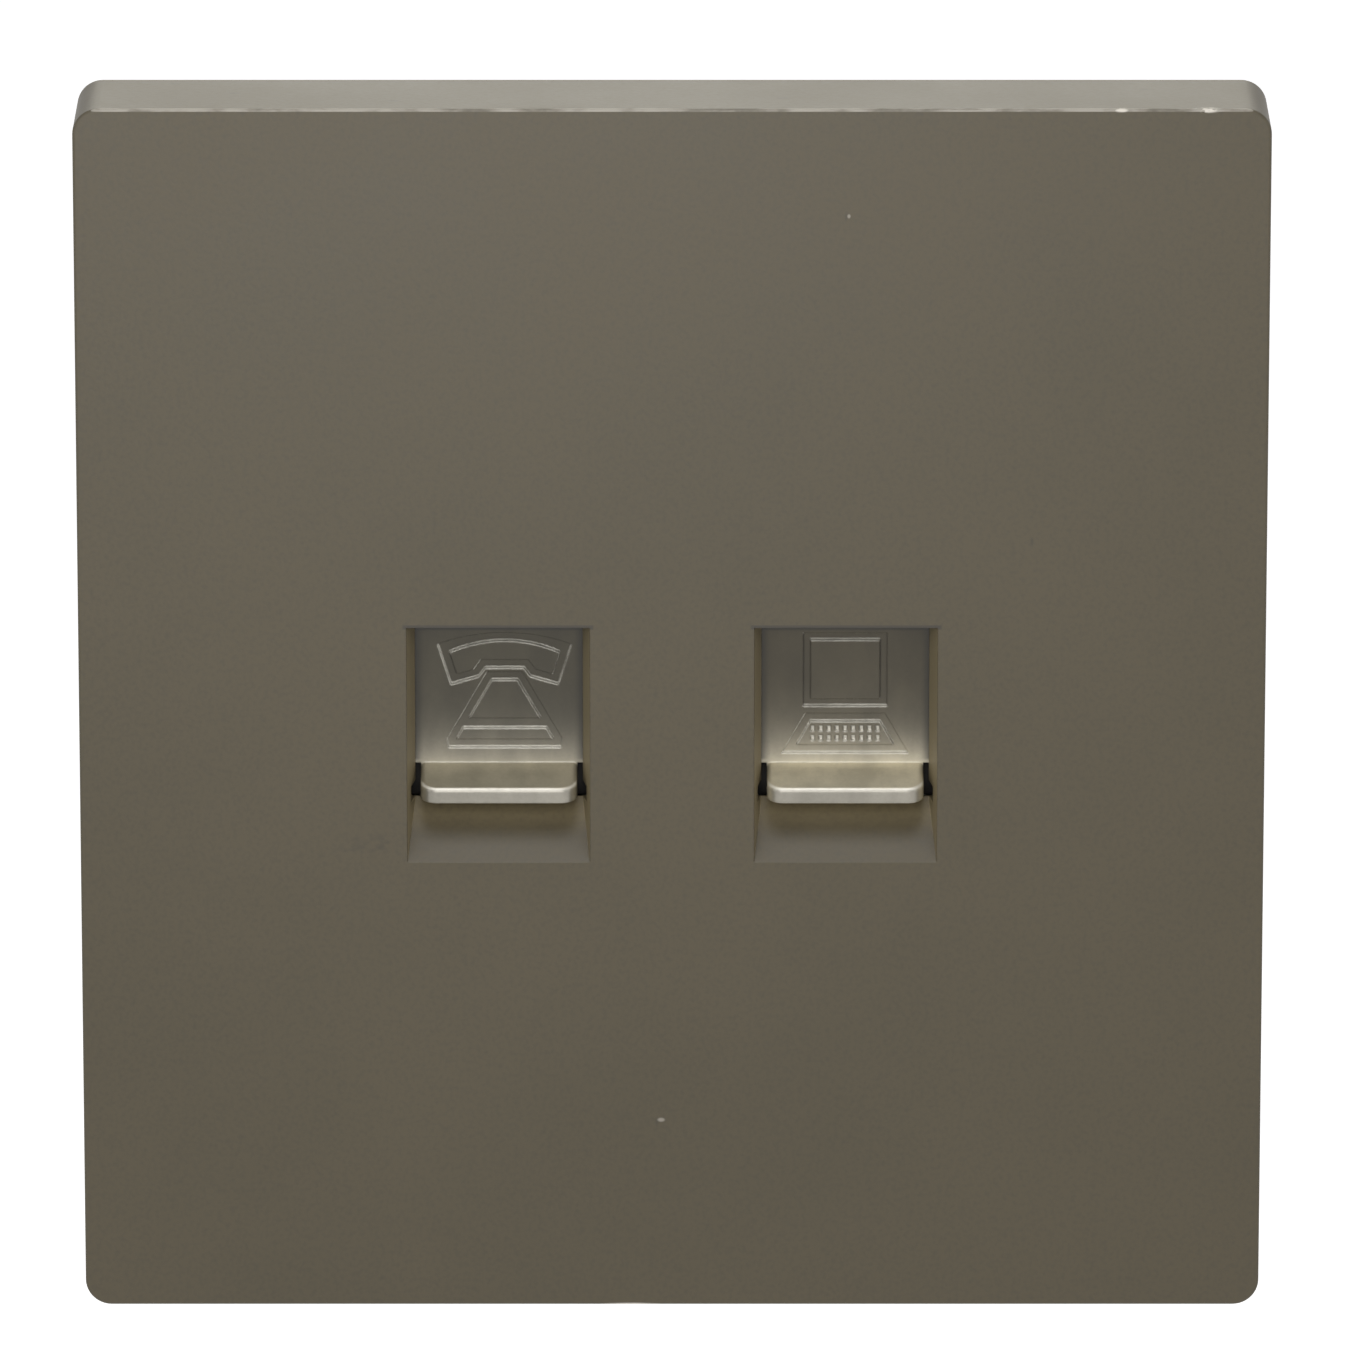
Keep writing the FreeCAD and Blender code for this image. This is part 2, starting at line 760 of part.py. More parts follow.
def build_housing(half, middle):
    """The carrier of one half: a flanged tray that drops into its cell and latches there."""
    housing = Piece(f"{half}_housing", middle)
    tall = d.module_height
    flange_width = d.module_width + d.flange_reach * 2
    flange_half = tall / 2 + d.flange_reach
    housing.pad("flange", [centred(flange_width, -flange_half, flange_half)], d.tub_front, housing_front)
    housing.pad("body", [centred(d.module_width, -tall / 2, tall / 2)], -d.housing_back, d.tub_front)
    inner = d.module_width - d.housing_wall * 2
    inner_half = tall / 2 - d.housing_wall
    housing.pocket("hollow", [centred(inner, -inner_half, inner_half)], -d.housing_back, front_plate_back)

    # the aperture that the jack passes through, flush with the face
    housing.pocket(
        "aperture",
        [centred(d.jack_width + d.jack_gap * 2, -d.jack_foot - d.jack_gap, d.jack_top + d.jack_gap)],
        front_plate_back, housing_front,
    )
    # a groove for the rear of the spring, and blind-ended holes for the guide's pegs
    housing.pocket(
        "spring_groove", [centred(spring_room_half * 2, d.shutter_top, spring_seat)],
        spring_depth - spring_room_half, housing_front,
    )
    housing.pocket("peg_holes", peg_squares(d.peg_width + d.peg_gap * 2), front_plate_back, housing_front)

    # a latch at each end: a tongue between two slits, with a barb that catches behind the tub's wall
    half_latch = d.latch_width / 2
    slit_front = front_plate_back - d.latch_gap
    slit_end = half_latch + d.latch_slit
    slits = [
        box(half_latch * side, slit_end * side, inner_half * end, tall / 2 * end)
        for side in SIDES.values()
        for end in ENDS.values()
    ]
    housing.pocket("latch_slits", slits, -d.housing_back, slit_front)
    for name, end in ENDS.items():
        profile = [
            (latch_catch, (tall / 2 - d.housing_wall / 2) * end),
            (latch_catch, (tall / 2 + d.latch_reach) * end),
            (latch_catch - d.latch_length / 3, (tall / 2 + d.latch_reach) * end),
            (latch_catch - d.latch_length, (tall / 2) * end),
            (latch_catch - d.latch_length, (tall / 2 - d.housing_wall / 2) * end),
        ]
        housing.side_pad(f"{name}_latch", profile, 0, d.latch_width)
    return housing


def peg_squares(width):
    """The four pegs of a guide, two above the shutter's channel and two below the ramp."""
    above = (channel_top + d.module_height / 2) / 2
    below = -(guide_opening_foot() + d.guide_foot) / 2
    half = width / 2
    return [
        box(d.peg_across * side - half, d.peg_across * side + half, height - half, height + half)
        for side in SIDES.values()
        for height in (above, below)
    ]


def guide_opening_foot():
    """How far the guide's opening reaches below the middle to clear the underside of the ramp."""
    return window_foot(guide_front) + d.collar_wall + d.collar_gap


def build_shutter_guide(half, middle):
    """The retainer that holds the shutter against the housing, with a channel that it slides in."""
    guide = Piece(f"{half}_shutter_guide", middle)
    top = d.module_height / 2
    guide.pad("plate", [centred(d.guide_width, -d.guide_foot, top)], housing_front, guide_front)
    opening_top = window_top(guide_front) + d.collar_wall + d.collar_gap
    cover_front = spring_depth + spring_room_half + d.spring_cover
    guide.pad(
        "spring_cover", [centred(d.spring_cover_width, opening_top, top)], guide_front, cover_front
    )
    opening = (window_half(guide_front) + d.collar_wall + d.collar_gap) * 2
    guide.pocket(
        "opening", [centred(opening, -guide_opening_foot(), opening_top)], housing_front, guide_front
    )
    guide.pocket(
        "channel",
        [centred(d.shutter_width + d.slide_gap * 2, -d.shutter_foot - d.slide_gap, channel_top)],
        housing_front, channel_front,
    )
    guide.pocket(
        "spring_room", [centred(spring_room_half * 2, opening_top - d.collar_gap, spring_seat)],
        housing_front, spring_depth + spring_room_half,
    )
    guide.pad("pegs", peg_squares(d.peg_width), housing_front - d.peg_length, housing_front)
    return guide


def build_shutter(half, middle, picture):
    """The sliding shutter: a plate with a finger lip at its foot and a picture pressed into it."""
    shutter = Piece(f"{half}_shutter", middle)
    shutter.pad(
        "plate", [centred(d.shutter_width, -d.shutter_foot, d.shutter_top)], shutter_back, shutter_face
    )
    wide = d.shutter_width / 2
    shutter.fillet("corners", lambda e: runs_along(e, Y_AXIS) and ends_at(e, x=wide), d.shutter_corner)

    # the lip slopes down as it comes forward, and is undercut below for the fingertip
    lip_top = d.shutter_foot + d.lip_fall
    profile = [
        (shutter_back, d.shutter_thickness - d.shutter_foot),
        (shutter_face, d.shutter_thickness - d.shutter_foot),
        (shutter_face, -d.shutter_foot),
        (lip_front, -lip_top),
        (lip_front, -lip_top - d.lip_face),
        (shutter_back, -d.shutter_foot - d.lip_root),
    ]
    shutter.side_pad("lip", profile, 0, d.lip_width)
    tip = d.lip_width / 2
    shutter.fillet(
        "lip_corners",
        lambda e: runs_along(e, Z_AXIS) and ends_at(e, x=tip, depth=lip_front),
        d.lip_corner,
    )
    front_line = -lip_top.number

    def on_lip_edge(edge):
        centre = edge.BoundBox.Center
        at_front = abs(edge.BoundBox.YMin + lip_front.number) < 0.01
        return at_front and abs(edge.BoundBox.ZMin - front_line) < 0.05 and abs(centre.x) < tip.number

    shutter.fillet("lip_edge", on_lip_edge, d.lip_edge_round)

    # a spigot on the top edge that centres the spring
    half_spigot = d.spigot_width / 2
    shutter.pad(
        "spigot", [box(-half_spigot, half_spigot, d.shutter_top, d.shutter_top + d.spigot_height)],
        spring_depth - half_spigot, spring_depth + half_spigot,
    )
    picture(shutter)
    return shutter


def drawn(*corners, shift=0):
    """An outline on the grid of the pictures, whose unit is a driving size, moved across the shutter."""
    placed = []
    for across, up, *bow in corners:
        middle = as_size(across) * d.picture_unit + shift
        height = as_size(up) * d.picture_unit + d.picture_lift
        placed.append((middle, height, *[as_size(value) * d.picture_unit for value in bow]))
    return Loop(*placed)


def press(shutter, title, outlines):
    """Press outlines into the shutter's face."""
    return shutter.pocket(title, outlines, shutter_face - d.picture_depth, shutter_face)


def press_telephone(shutter):
    """A desk telephone drawn in grooves: the handset, and its base with a bar across the foot."""
    shift = d.telephone_shift
    handset = drawn(
        (-3.9, 0.47), (-1.87, 1.07), (-1.41, 1.71), (1.41, 1.71), (1.87, 1.07), (3.9, 0.47),
        (4.86, 3.5, -0.88), (-4.86, 3.5),
        shift=shift,
    )
    base = drawn(
        (-4.1, -4.29), (4.1, -4.29), (4.17, -3.61), (1.29, 1.42), (-1.29, 1.42), (-4.17, -3.61),
        shift=shift,
    )
    body = drawn((-3.671, -2.7), (3.671, -2.7), (1.29, 1.42), (-1.29, 1.42), shift=shift)
    foot = drawn((-4.59, -4.29), (4.59, -4.29), (3.382, -2.2), (-3.382, -2.2), shift=shift)
    press(shutter, "handset", [handset, handset.inset(d.picture_stroke)])
    press(shutter, "base", [base, body.inset(d.picture_stroke), foot.inset(d.picture_stroke)])


def press_computer(shutter):
    """A computer drawn in grooves: the screen, and a keyboard with two rows of keys."""
    screen = drawn((-3.05, -1.16), (3.05, -1.16), (3.05, 4.35), (-3.05, 4.35))
    keyboard = drawn((-4.6, -4.71), (4.6, -4.71), (2.9, -1.71), (-2.9, -1.71))
    press(shutter, "screen", [screen, screen.inset(d.picture_stroke * 0.85)])
    press(shutter, "keyboard", [keyboard, keyboard.inset(d.picture_stroke)])
    left = d.key_spacing * (1 - d.key_columns) / 2 - d.key_width / 2
    rows = [as_size(foot) * d.picture_unit + d.picture_lift for foot in (-3.76, -3.05)]
    column = press(
        shutter, "keys", [box(left, left + d.key_width, foot, foot + d.key_height) for foot in rows]
    )
    shutter.repeat("key_columns", [column], d.key_spacing, d.key_columns)


def build_spring(half, middle):
    """The coil spring that closes the shutter, from its top edge up to the seat in the guide."""
    spring = Piece(f"{half}_shutter_spring", middle)
    half_wire = d.spring_wire / 2
    low = d.shutter_top + d.spring_end_gap
    coil = spring.feature("AdditiveHelix", "coil")
    near = d.spring_radius - half_wire
    section = box(near, near + d.spring_wire, low, low + d.spring_wire)
    sketch = spring.sketch([section], "XZ_Plane", 0)
    coil.Profile = sketch
    coil.ReferenceAxis = (sketch, ["V_Axis"])
    coil.Mode = "height-turns-angle"
    bind(coil, "Turns", d.spring_turns)
    bind(coil, "Height", d.spring_room - d.spring_end_gap * 2 - d.spring_wire)
    spring.body.Tip = coil
    spring.body.setExpression("Placement.Base.y", (-spring_depth).formula)
    return spring


def build_jack(half, middle, plug_width):
    """The jack's shell: a tube with the stepped mouth of a modular plug and a shoulder behind."""
    jack = Piece(f"{half}_jack", middle)
    jack.pad("shell", [centred(d.jack_width, -d.jack_foot, d.jack_top)], jack_back, housing_front)
    reach = d.shoulder_reach
    jack.pad(
        "shoulder",
        [centred(d.jack_width + reach * 2, -d.jack_foot - reach, d.jack_top + reach)],
        front_plate_back - d.shoulder_length, front_plate_back,
    )
    jack.pocket("mouth", [centred(plug_width, -d.plug_foot, d.plug_top)], jack_back, housing_front)
    jack.pocket("chamber", [centred(plug_width, 0, chamber_top)], jack_back, chamber_front)
    step_foot = -d.plug_foot - d.latch_step_height
    well_back = housing_front - d.latch_well_depth
    jack.pocket(
        "latch_step", [centred(d.latch_step_width, step_foot, -d.plug_foot)], well_back, housing_front
    )
    jack.pocket(
        "latch_well",
        [centred(d.latch_well_width, step_foot - d.latch_well_height, step_foot)],
        well_back, housing_front,
    )
    jack.pad("locators", locator_discs(d.locator_radius), board_back, jack_back)
    return jack


def locator_discs(radius):
    """The two pegs that set the jack on its circuit board."""
    return [Disc(d.locator_across * side, -d.locator_down, radius) for side in SIDES.values()]


def contact_places(count):
    """The middles of a row of contacts."""
    first = d.contact_spacing * (1 - as_size(count)) / 2
    return [first + d.contact_spacing * i for i in range(int(count.number))]


def build_contact_carrier(half, middle, plug_width, count):
    """The insert that closes the jack's rear and holds the contacts in grooves along its tongue."""
    carrier = Piece(f"{half}_contact_carrier", middle)
    width = plug_width - d.carrier_gap * 2
    low = d.carrier_gap - d.plug_foot
    high = chamber_top - d.carrier_gap
    tongue_front = chamber_front - d.contact_wire - d.contact_bend * 3
    carrier.pad("rear_wall", [centred(width, low, high)], jack_back, plug_floor)
    carrier.pad("tongue", [centred(width, tongue_low, high)], plug_floor, tongue_front)
    groove = d.contact_wire + d.groove_gap * 2
    first = contact_places(count)[0]
    cut = carrier.pocket(
        "groove", [box(first - groove / 2, first + groove / 2, wire_low, high)], jack_back, tongue_front
    )
    carrier.repeat("grooves", [cut], d.contact_spacing, count)
    return carrier


def build_contacts(half, middle, count):
    """The row of sprung contact wires, bent round the front of the carrier's tongue."""
    contacts = Piece(f"{half}_contacts", middle)
    tail = board_back - d.contact_tail
    front = chamber_front - d.contact_bend
    wire = d.contact_wire
    tip = front - d.contact_reach
    bend_low = tongue_low - d.contact_bend
    profile = [
        (tail, wire_low),
        (tail, wire_high),
        (front, wire_high),
        (front, bend_low - wire / 2),
        (tip, d.contact_tip),
        (tip, d.contact_tip + wire),
        (front - wire, bend_low + wire / 2),
        (front - wire, wire_low),
    ]
    first = contact_places(count)[0]
    wire_pad = contacts.side_pad("wire", profile, first, wire)
    contacts.repeat("wires", [wire_pad], d.contact_spacing, count)
    return contacts


def build_circuit_board(half, middle, count):
    """The board on the jack's rear, drilled for the contact tails and the jack's two pegs."""
    board = Piece(f"{half}_circuit_board", middle)
    board.pad("board", [centred(d.board_width, -d.board_foot, d.board_top)], board_back, jack_back)
    board.pocket("peg_holes", locator_discs(d.locator_radius + d.peg_gap), board_back, jack_back)
    half_hole = d.contact_wire / 2 + d.board_hole_gap
    first = contact_places(count)[0]
    hole = board.pocket(
        "tail_hole",
        [box(first - half_hole, first + half_hole,
             wire_low - d.board_hole_gap, wire_high + d.board_hole_gap)],
        board_back, jack_back,
    )
    board.repeat("tail_holes", [hole], d.contact_spacing, count)
    return board


def build_terminal_block(half, middle):
    """The block of screw terminals: a row of bays, open to the rear and the foot for the wires."""
    block = Piece(f"{half}_terminal_block", middle)
    block.pad(
        "block", [centred(d.terminal_width, -d.terminal_foot, d.terminal_top)], terminal_back, board_back
    )
    half_bay = d.bay_width / 2
    bay = block.pocket(
        "bay",
        [box(terminal_first - half_bay, terminal_first + half_bay, -d.terminal_foot, d.bay_top)],
        terminal_back, bay_floor,
    )
    block.repeat("bays", [bay], d.terminal_spacing, d.terminal_count)
    hole = block.pocket(
        "screw_hole", [Disc(terminal_first, screw_height, d.screw_radius + d.screw_gap)],
        bay_floor, screw_tip + d.screw_gap,
    )
    block.repeat("screw_holes", [hole], d.terminal_spacing, d.terminal_count)
    return block


def build_clamp_plates(half, middle):
    """The forked plates that the terminal screws press onto the wires."""
    plates = Piece(f"{half}_clamp_plates", middle)
    half_plate = d.bay_width / 2 - d.clamp_gap
    half_height = d.clamp_height / 2
    half_fork = d.screw_radius + d.screw_gap
    foot = screw_height - half_height
    top = screw_height + half_height
    plate = plates.pad(
        "plate",
        [Loop(
            (terminal_first - half_plate, foot),
            (terminal_first + half_plate, foot),
            (terminal_first + half_plate, top),
            (terminal_first + half_fork, top),
            (terminal_first + half_fork, screw_height - half_fork),
            (terminal_first - half_fork, screw_height - half_fork),
            (terminal_first - half_fork, top),
            (terminal_first - half_plate, top),
        )],
        clamp_back, bay_floor,
    )
    plates.repeat("plates", [plate], d.terminal_spacing, d.terminal_count)
    return plates


def build_terminal_screws(half, middle):
    """The terminal screws: a flat head with a driver slot, and a shank into the block."""
    screws = Piece(f"{half}_terminal_screws", middle)
    head_back = clamp_back - d.screw_head
    head = screws.pad(
        "head", [Disc(terminal_first, screw_height, d.screw_head_radius)], head_back, clamp_back
    )
    shank = screws.pad(
        "shank", [Disc(terminal_first, screw_height, d.screw_radius)], clamp_back, screw_tip
    )
    half_slot = d.driver_slot / 2
    slot = screws.pocket(
        "driver_slot",
        [box(terminal_first - d.screw_head_radius, terminal_first + d.screw_head_radius,
             screw_height - half_slot, screw_height + half_slot)],
        head_back, head_back + d.driver_depth,
    )
    screws.repeat("screws", [head, shank, slot], d.terminal_spacing, d.terminal_count)
    return screws


def wire_rows():
    """For each row of wire slots: its name, its outer end, its inner end and its blades' height."""
    return [
        ("upper", d.wire_block_top, d.wire_block_top - d.wire_slot_reach,
         d.wire_block_top - d.blade_inset),
        ("lower", -d.wire_block_foot, d.wire_slot_reach - d.wire_block_foot,
         d.blade_inset - d.wire_block_foot),
    ]


def build_wire_block(half, middle):
    """The block that the line's eight wires are pressed into, four slots above and four below."""
    block = Piece(f"{half}_wire_block", middle)
    block.pad(
        "block", [centred(d.wire_block_width, -d.wire_block_foot, d.wire_block_top)],
        wire_block_back, board_back,
    )
    half_slot = d.wire_slot / 2
    half_seat = d.blade_width / 2 + d.blade_gap
    half_seat_height = d.blade_thickness / 2 + d.blade_gap
    half_leg = d.blade_leg / 2 + d.blade_gap
    for name, outer, inner, blade in wire_rows():
        slot = block.pocket(
            f"{name}_wire_slot", [box(wire_first - half_slot, wire_first + half_slot, inner, outer)],
            wire_block_back, wire_block_back + d.wire_slot_depth,
        )
        block.repeat(f"{name}_wire_slots", [slot], d.wire_spacing, d.wire_count)
        seat = block.pocket(
            f"{name}_blade_seat",
            [box(wire_first - half_seat, wire_first + half_seat,
                 blade - half_seat_height, blade + half_seat_height)],
            wire_block_back, blade_floor,
        )
        block.repeat(f"{name}_blade_seats", [seat], d.wire_spacing, d.wire_count)
        leg = block.pocket(
            f"{name}_leg_hole",
            [box(wire_first - half_leg, wire_first + half_leg,
                 blade - half_seat_height, blade + half_seat_height)],
            blade_floor, board_back,
        )
        block.repeat(f"{name}_leg_holes", [leg], d.wire_spacing, d.wire_count)
    return block


def build_blades(half, middle):
    """The forked blades that cut into the wires, each with a leg down to the circuit board."""
    blades = Piece(f"{half}_blades", middle)
    half_blade = d.blade_width / 2
    half_slit = d.blade_slit / 2
    half_thick = d.blade_thickness / 2
    half_leg = d.blade_leg / 2
    blade_back = blade_floor - d.blade_length
    features = []
    for name, _, _, height in wire_rows():
        low = height - half_thick
        high = height + half_thick
        features.append(blades.pad(
            f"{name}_fork", [box(wire_first - half_blade, wire_first + half_blade, low, high)],
            blade_back, blade_floor,
        ))
        features.append(blades.pad(
            f"{name}_leg", [box(wire_first - half_leg, wire_first + half_leg, low, high)],
            blade_floor, board_back,
        ))
        features.append(blades.pocket(
            f"{name}_slit", [box(wire_first - half_slit, wire_first + half_slit, low, high)],
            blade_back, blade_back + d.blade_slit_depth,
        ))
    blades.repeat("blades", features, d.wire_spacing, d.wire_count)
    return blades


def build_wire_cap(half, middle):
    """The cap over the wire block, with a rib in each slot that holds its wire down."""
    cap = Piece(f"{half}_wire_cap", middle)
    inner = d.wire_block_width + d.cap_gap * 2
    outer = inner + d.cap_side * 2
    cap_back = wire_block_back - d.cap_thickness
    cap.pad(
        "plate", [centred(outer, -d.wire_block_foot, d.wire_block_top)], cap_back, wire_block_back
    )
    flaps = [
        box(inner / 2 * side, outer / 2 * side, -d.wire_block_foot, d.wire_block_top)
        for side in SIDES.values()
    ]
    cap.pad("flaps", flaps, wire_block_back, wire_block_back + d.cap_reach)
    half_rib = d.pusher_width / 2
    for name, outer_end, inner_end, _ in wire_rows():
        near = inner_end - d.blade_gap if name == "lower" else inner_end + d.blade_gap
        far = near - d.pusher_length if name == "lower" else near + d.pusher_length
        rib = cap.pad(
            f"{name}_pusher", [box(wire_first - half_rib, wire_first + half_rib, near, far)],
            wire_block_back, wire_block_back + d.pusher_reach,
        )
        cap.repeat(f"{name}_pushers", [rib], d.wire_spacing, d.wire_count)
    return cap


def check(document):
    """Stop if any feature failed or any finished piece is empty or broken."""
    document.recompute()
    for obj in document.Objects:
        if "Invalid" in obj.State or "Error" in obj.State:
            raise RuntimeError(f"{obj.Name} failed: {obj.State}")


def build_socket():
    """All the pieces of the socket."""
    left = -module_middle
    right = module_middle
    pieces = [build_cover_plate(), build_mounting_frame()]
    for half, middle, plug_width, count, picture in (
        ("telephone", left, d.telephone_plug_width, d.telephone_contact_count, press_telephone),
        ("computer", right, d.computer_plug_width, d.computer_contact_count, press_computer),
    ):
        pieces += [
            build_shutter(half, middle, picture),
            build_spring(half, middle),
            build_shutter_guide(half, middle),
            build_housing(half, middle),
            build_jack(half, middle, plug_width),
            build_contact_carrier(half, middle, plug_width, count),
            build_contacts(half, middle, count),
            build_circuit_board(half, middle, count),
        ]
    pieces += [
        build_terminal_block("telephone", left),
        build_clamp_plates("telephone", left),
        build_terminal_screws("telephone", left),
        build_wire_block("computer", right),
        build_blades("computer", right),
        build_wire_cap("computer", right),
    ]
    return pieces


socket = build_socket()
check(doc)
for piece in socket:
    shape = piece.body.Shape
    if shape.isNull() or not shape.isValid() or not shape.Solids:
        raise RuntimeError(f"{piece.name} has no sound solid")
os.makedirs("parts", exist_ok=True)
for piece in socket:
    piece.body.Shape.exportStep(f"parts/{piece.name}.step")
    bounds = piece.body.Shape.BoundBox
    print(
        f"{piece.name}: {len(piece.body.Shape.Solids)} solids, {piece.body.Shape.Volume:.1f} mm3, "
        f"x {bounds.XMin:.2f}..{bounds.XMax:.2f}, y {bounds.YMin:.2f}..{bounds.YMax:.2f}, "
        f"z {bounds.ZMin:.2f}..{bounds.ZMax:.2f}"
    )
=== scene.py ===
"""Dresses the telephone wall socket: its plate, its two shutters and the works behind them."""

import logging
import math
from dataclasses import dataclass, field
from enum import Enum
from typing import Dict, List, Optional, Sequence, Tuple, Union

import bmesh
import bpy
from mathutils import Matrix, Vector


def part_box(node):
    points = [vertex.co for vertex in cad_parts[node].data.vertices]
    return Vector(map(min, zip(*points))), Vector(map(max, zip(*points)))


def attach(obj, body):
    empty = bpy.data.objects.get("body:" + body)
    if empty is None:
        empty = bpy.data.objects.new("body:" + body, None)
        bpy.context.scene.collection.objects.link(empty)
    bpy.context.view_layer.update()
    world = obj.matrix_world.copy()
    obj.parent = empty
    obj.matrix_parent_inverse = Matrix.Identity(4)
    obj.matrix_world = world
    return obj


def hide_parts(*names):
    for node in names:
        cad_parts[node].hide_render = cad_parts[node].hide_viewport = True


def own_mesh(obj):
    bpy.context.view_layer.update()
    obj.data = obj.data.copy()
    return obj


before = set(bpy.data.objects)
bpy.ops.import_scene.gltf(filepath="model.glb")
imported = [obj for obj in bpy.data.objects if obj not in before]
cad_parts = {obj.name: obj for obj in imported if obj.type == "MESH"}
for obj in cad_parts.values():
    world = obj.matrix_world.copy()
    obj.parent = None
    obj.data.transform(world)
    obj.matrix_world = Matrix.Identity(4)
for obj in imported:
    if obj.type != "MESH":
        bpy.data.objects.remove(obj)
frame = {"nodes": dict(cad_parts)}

LOG = logging.getLogger("wall_socket")
MM = 0.001
ROUNDING_SAMPLES = 4

Colour = Tuple[float, float, float]
Point = Tuple[float, float, float]
Span = Tuple[float, float]


class Half(Enum):
    """The socket's halves, each with the middle of its window across the plate, in millimetres."""

    TELEPHONE = -12.6
    COMPUTER = 12.6

    @property
    def prefix(self) -> str:
        """The word that this half's nodes start with."""
        return self.name.lower()


class Wire:
    """A value, colour or vector on its way through a material's nodes."""

    def __init__(self, recipe: "Recipe", socket: bpy.types.NodeSocket) -> None:
        """Wraps an output socket of the recipe's tree."""
        self.recipe = recipe
        self.socket = socket

    def __add__(self, other: "Value") -> "Wire":
        """Adds a value."""
        return self.recipe.maths("ADD", self, other)

    __radd__ = __add__

    def __sub__(self, other: "Value") -> "Wire":
        """Takes a value away."""
        return self.recipe.maths("SUBTRACT", self, other)

    def __rsub__(self, other: "Value") -> "Wire":
        """Takes this away from a value."""
        return self.recipe.maths("SUBTRACT", other, self)

    def __mul__(self, other: "Value") -> "Wire":
        """Multiplies by a value."""
        return self.recipe.maths("MULTIPLY", self, other)

    __rmul__ = __mul__

    def __truediv__(self, other: "Value") -> "Wire":
        """Divides by a value."""
        return self.recipe.maths("DIVIDE", self, other)

    def __abs__(self) -> "Wire":
        """The value without its sign."""
        return self.recipe.maths("ABSOLUTE", self)

    def over(self, other: "Value") -> "Wire":
        """The larger of the two values."""
        return self.recipe.maths("MAXIMUM", self, other)

    def rise(self, low: float, high: float) -> "Wire":
        """Turns smoothly from 0 at low to 1 at high.

        Args:
            low: The value that gives 0. It may be the larger of the two.
            high: The value that gives 1.

        Returns:
            The share, from 0 to 1.
        """
        flip = low > high
        made = self.recipe.node(
            "ShaderNodeMapRange",
            {"interpolation_type": "SMOOTHSTEP"},
            {
                "Value": self,
                "From Min": min(low, high),
                "From Max": max(low, high),
                "To Min": 1.0 if flip else 0.0,
                "To Max": 0.0 if flip else 1.0,
            },
        )
        return Wire(self.recipe, made.outputs["Result"])


Value = Union[Wire, float]


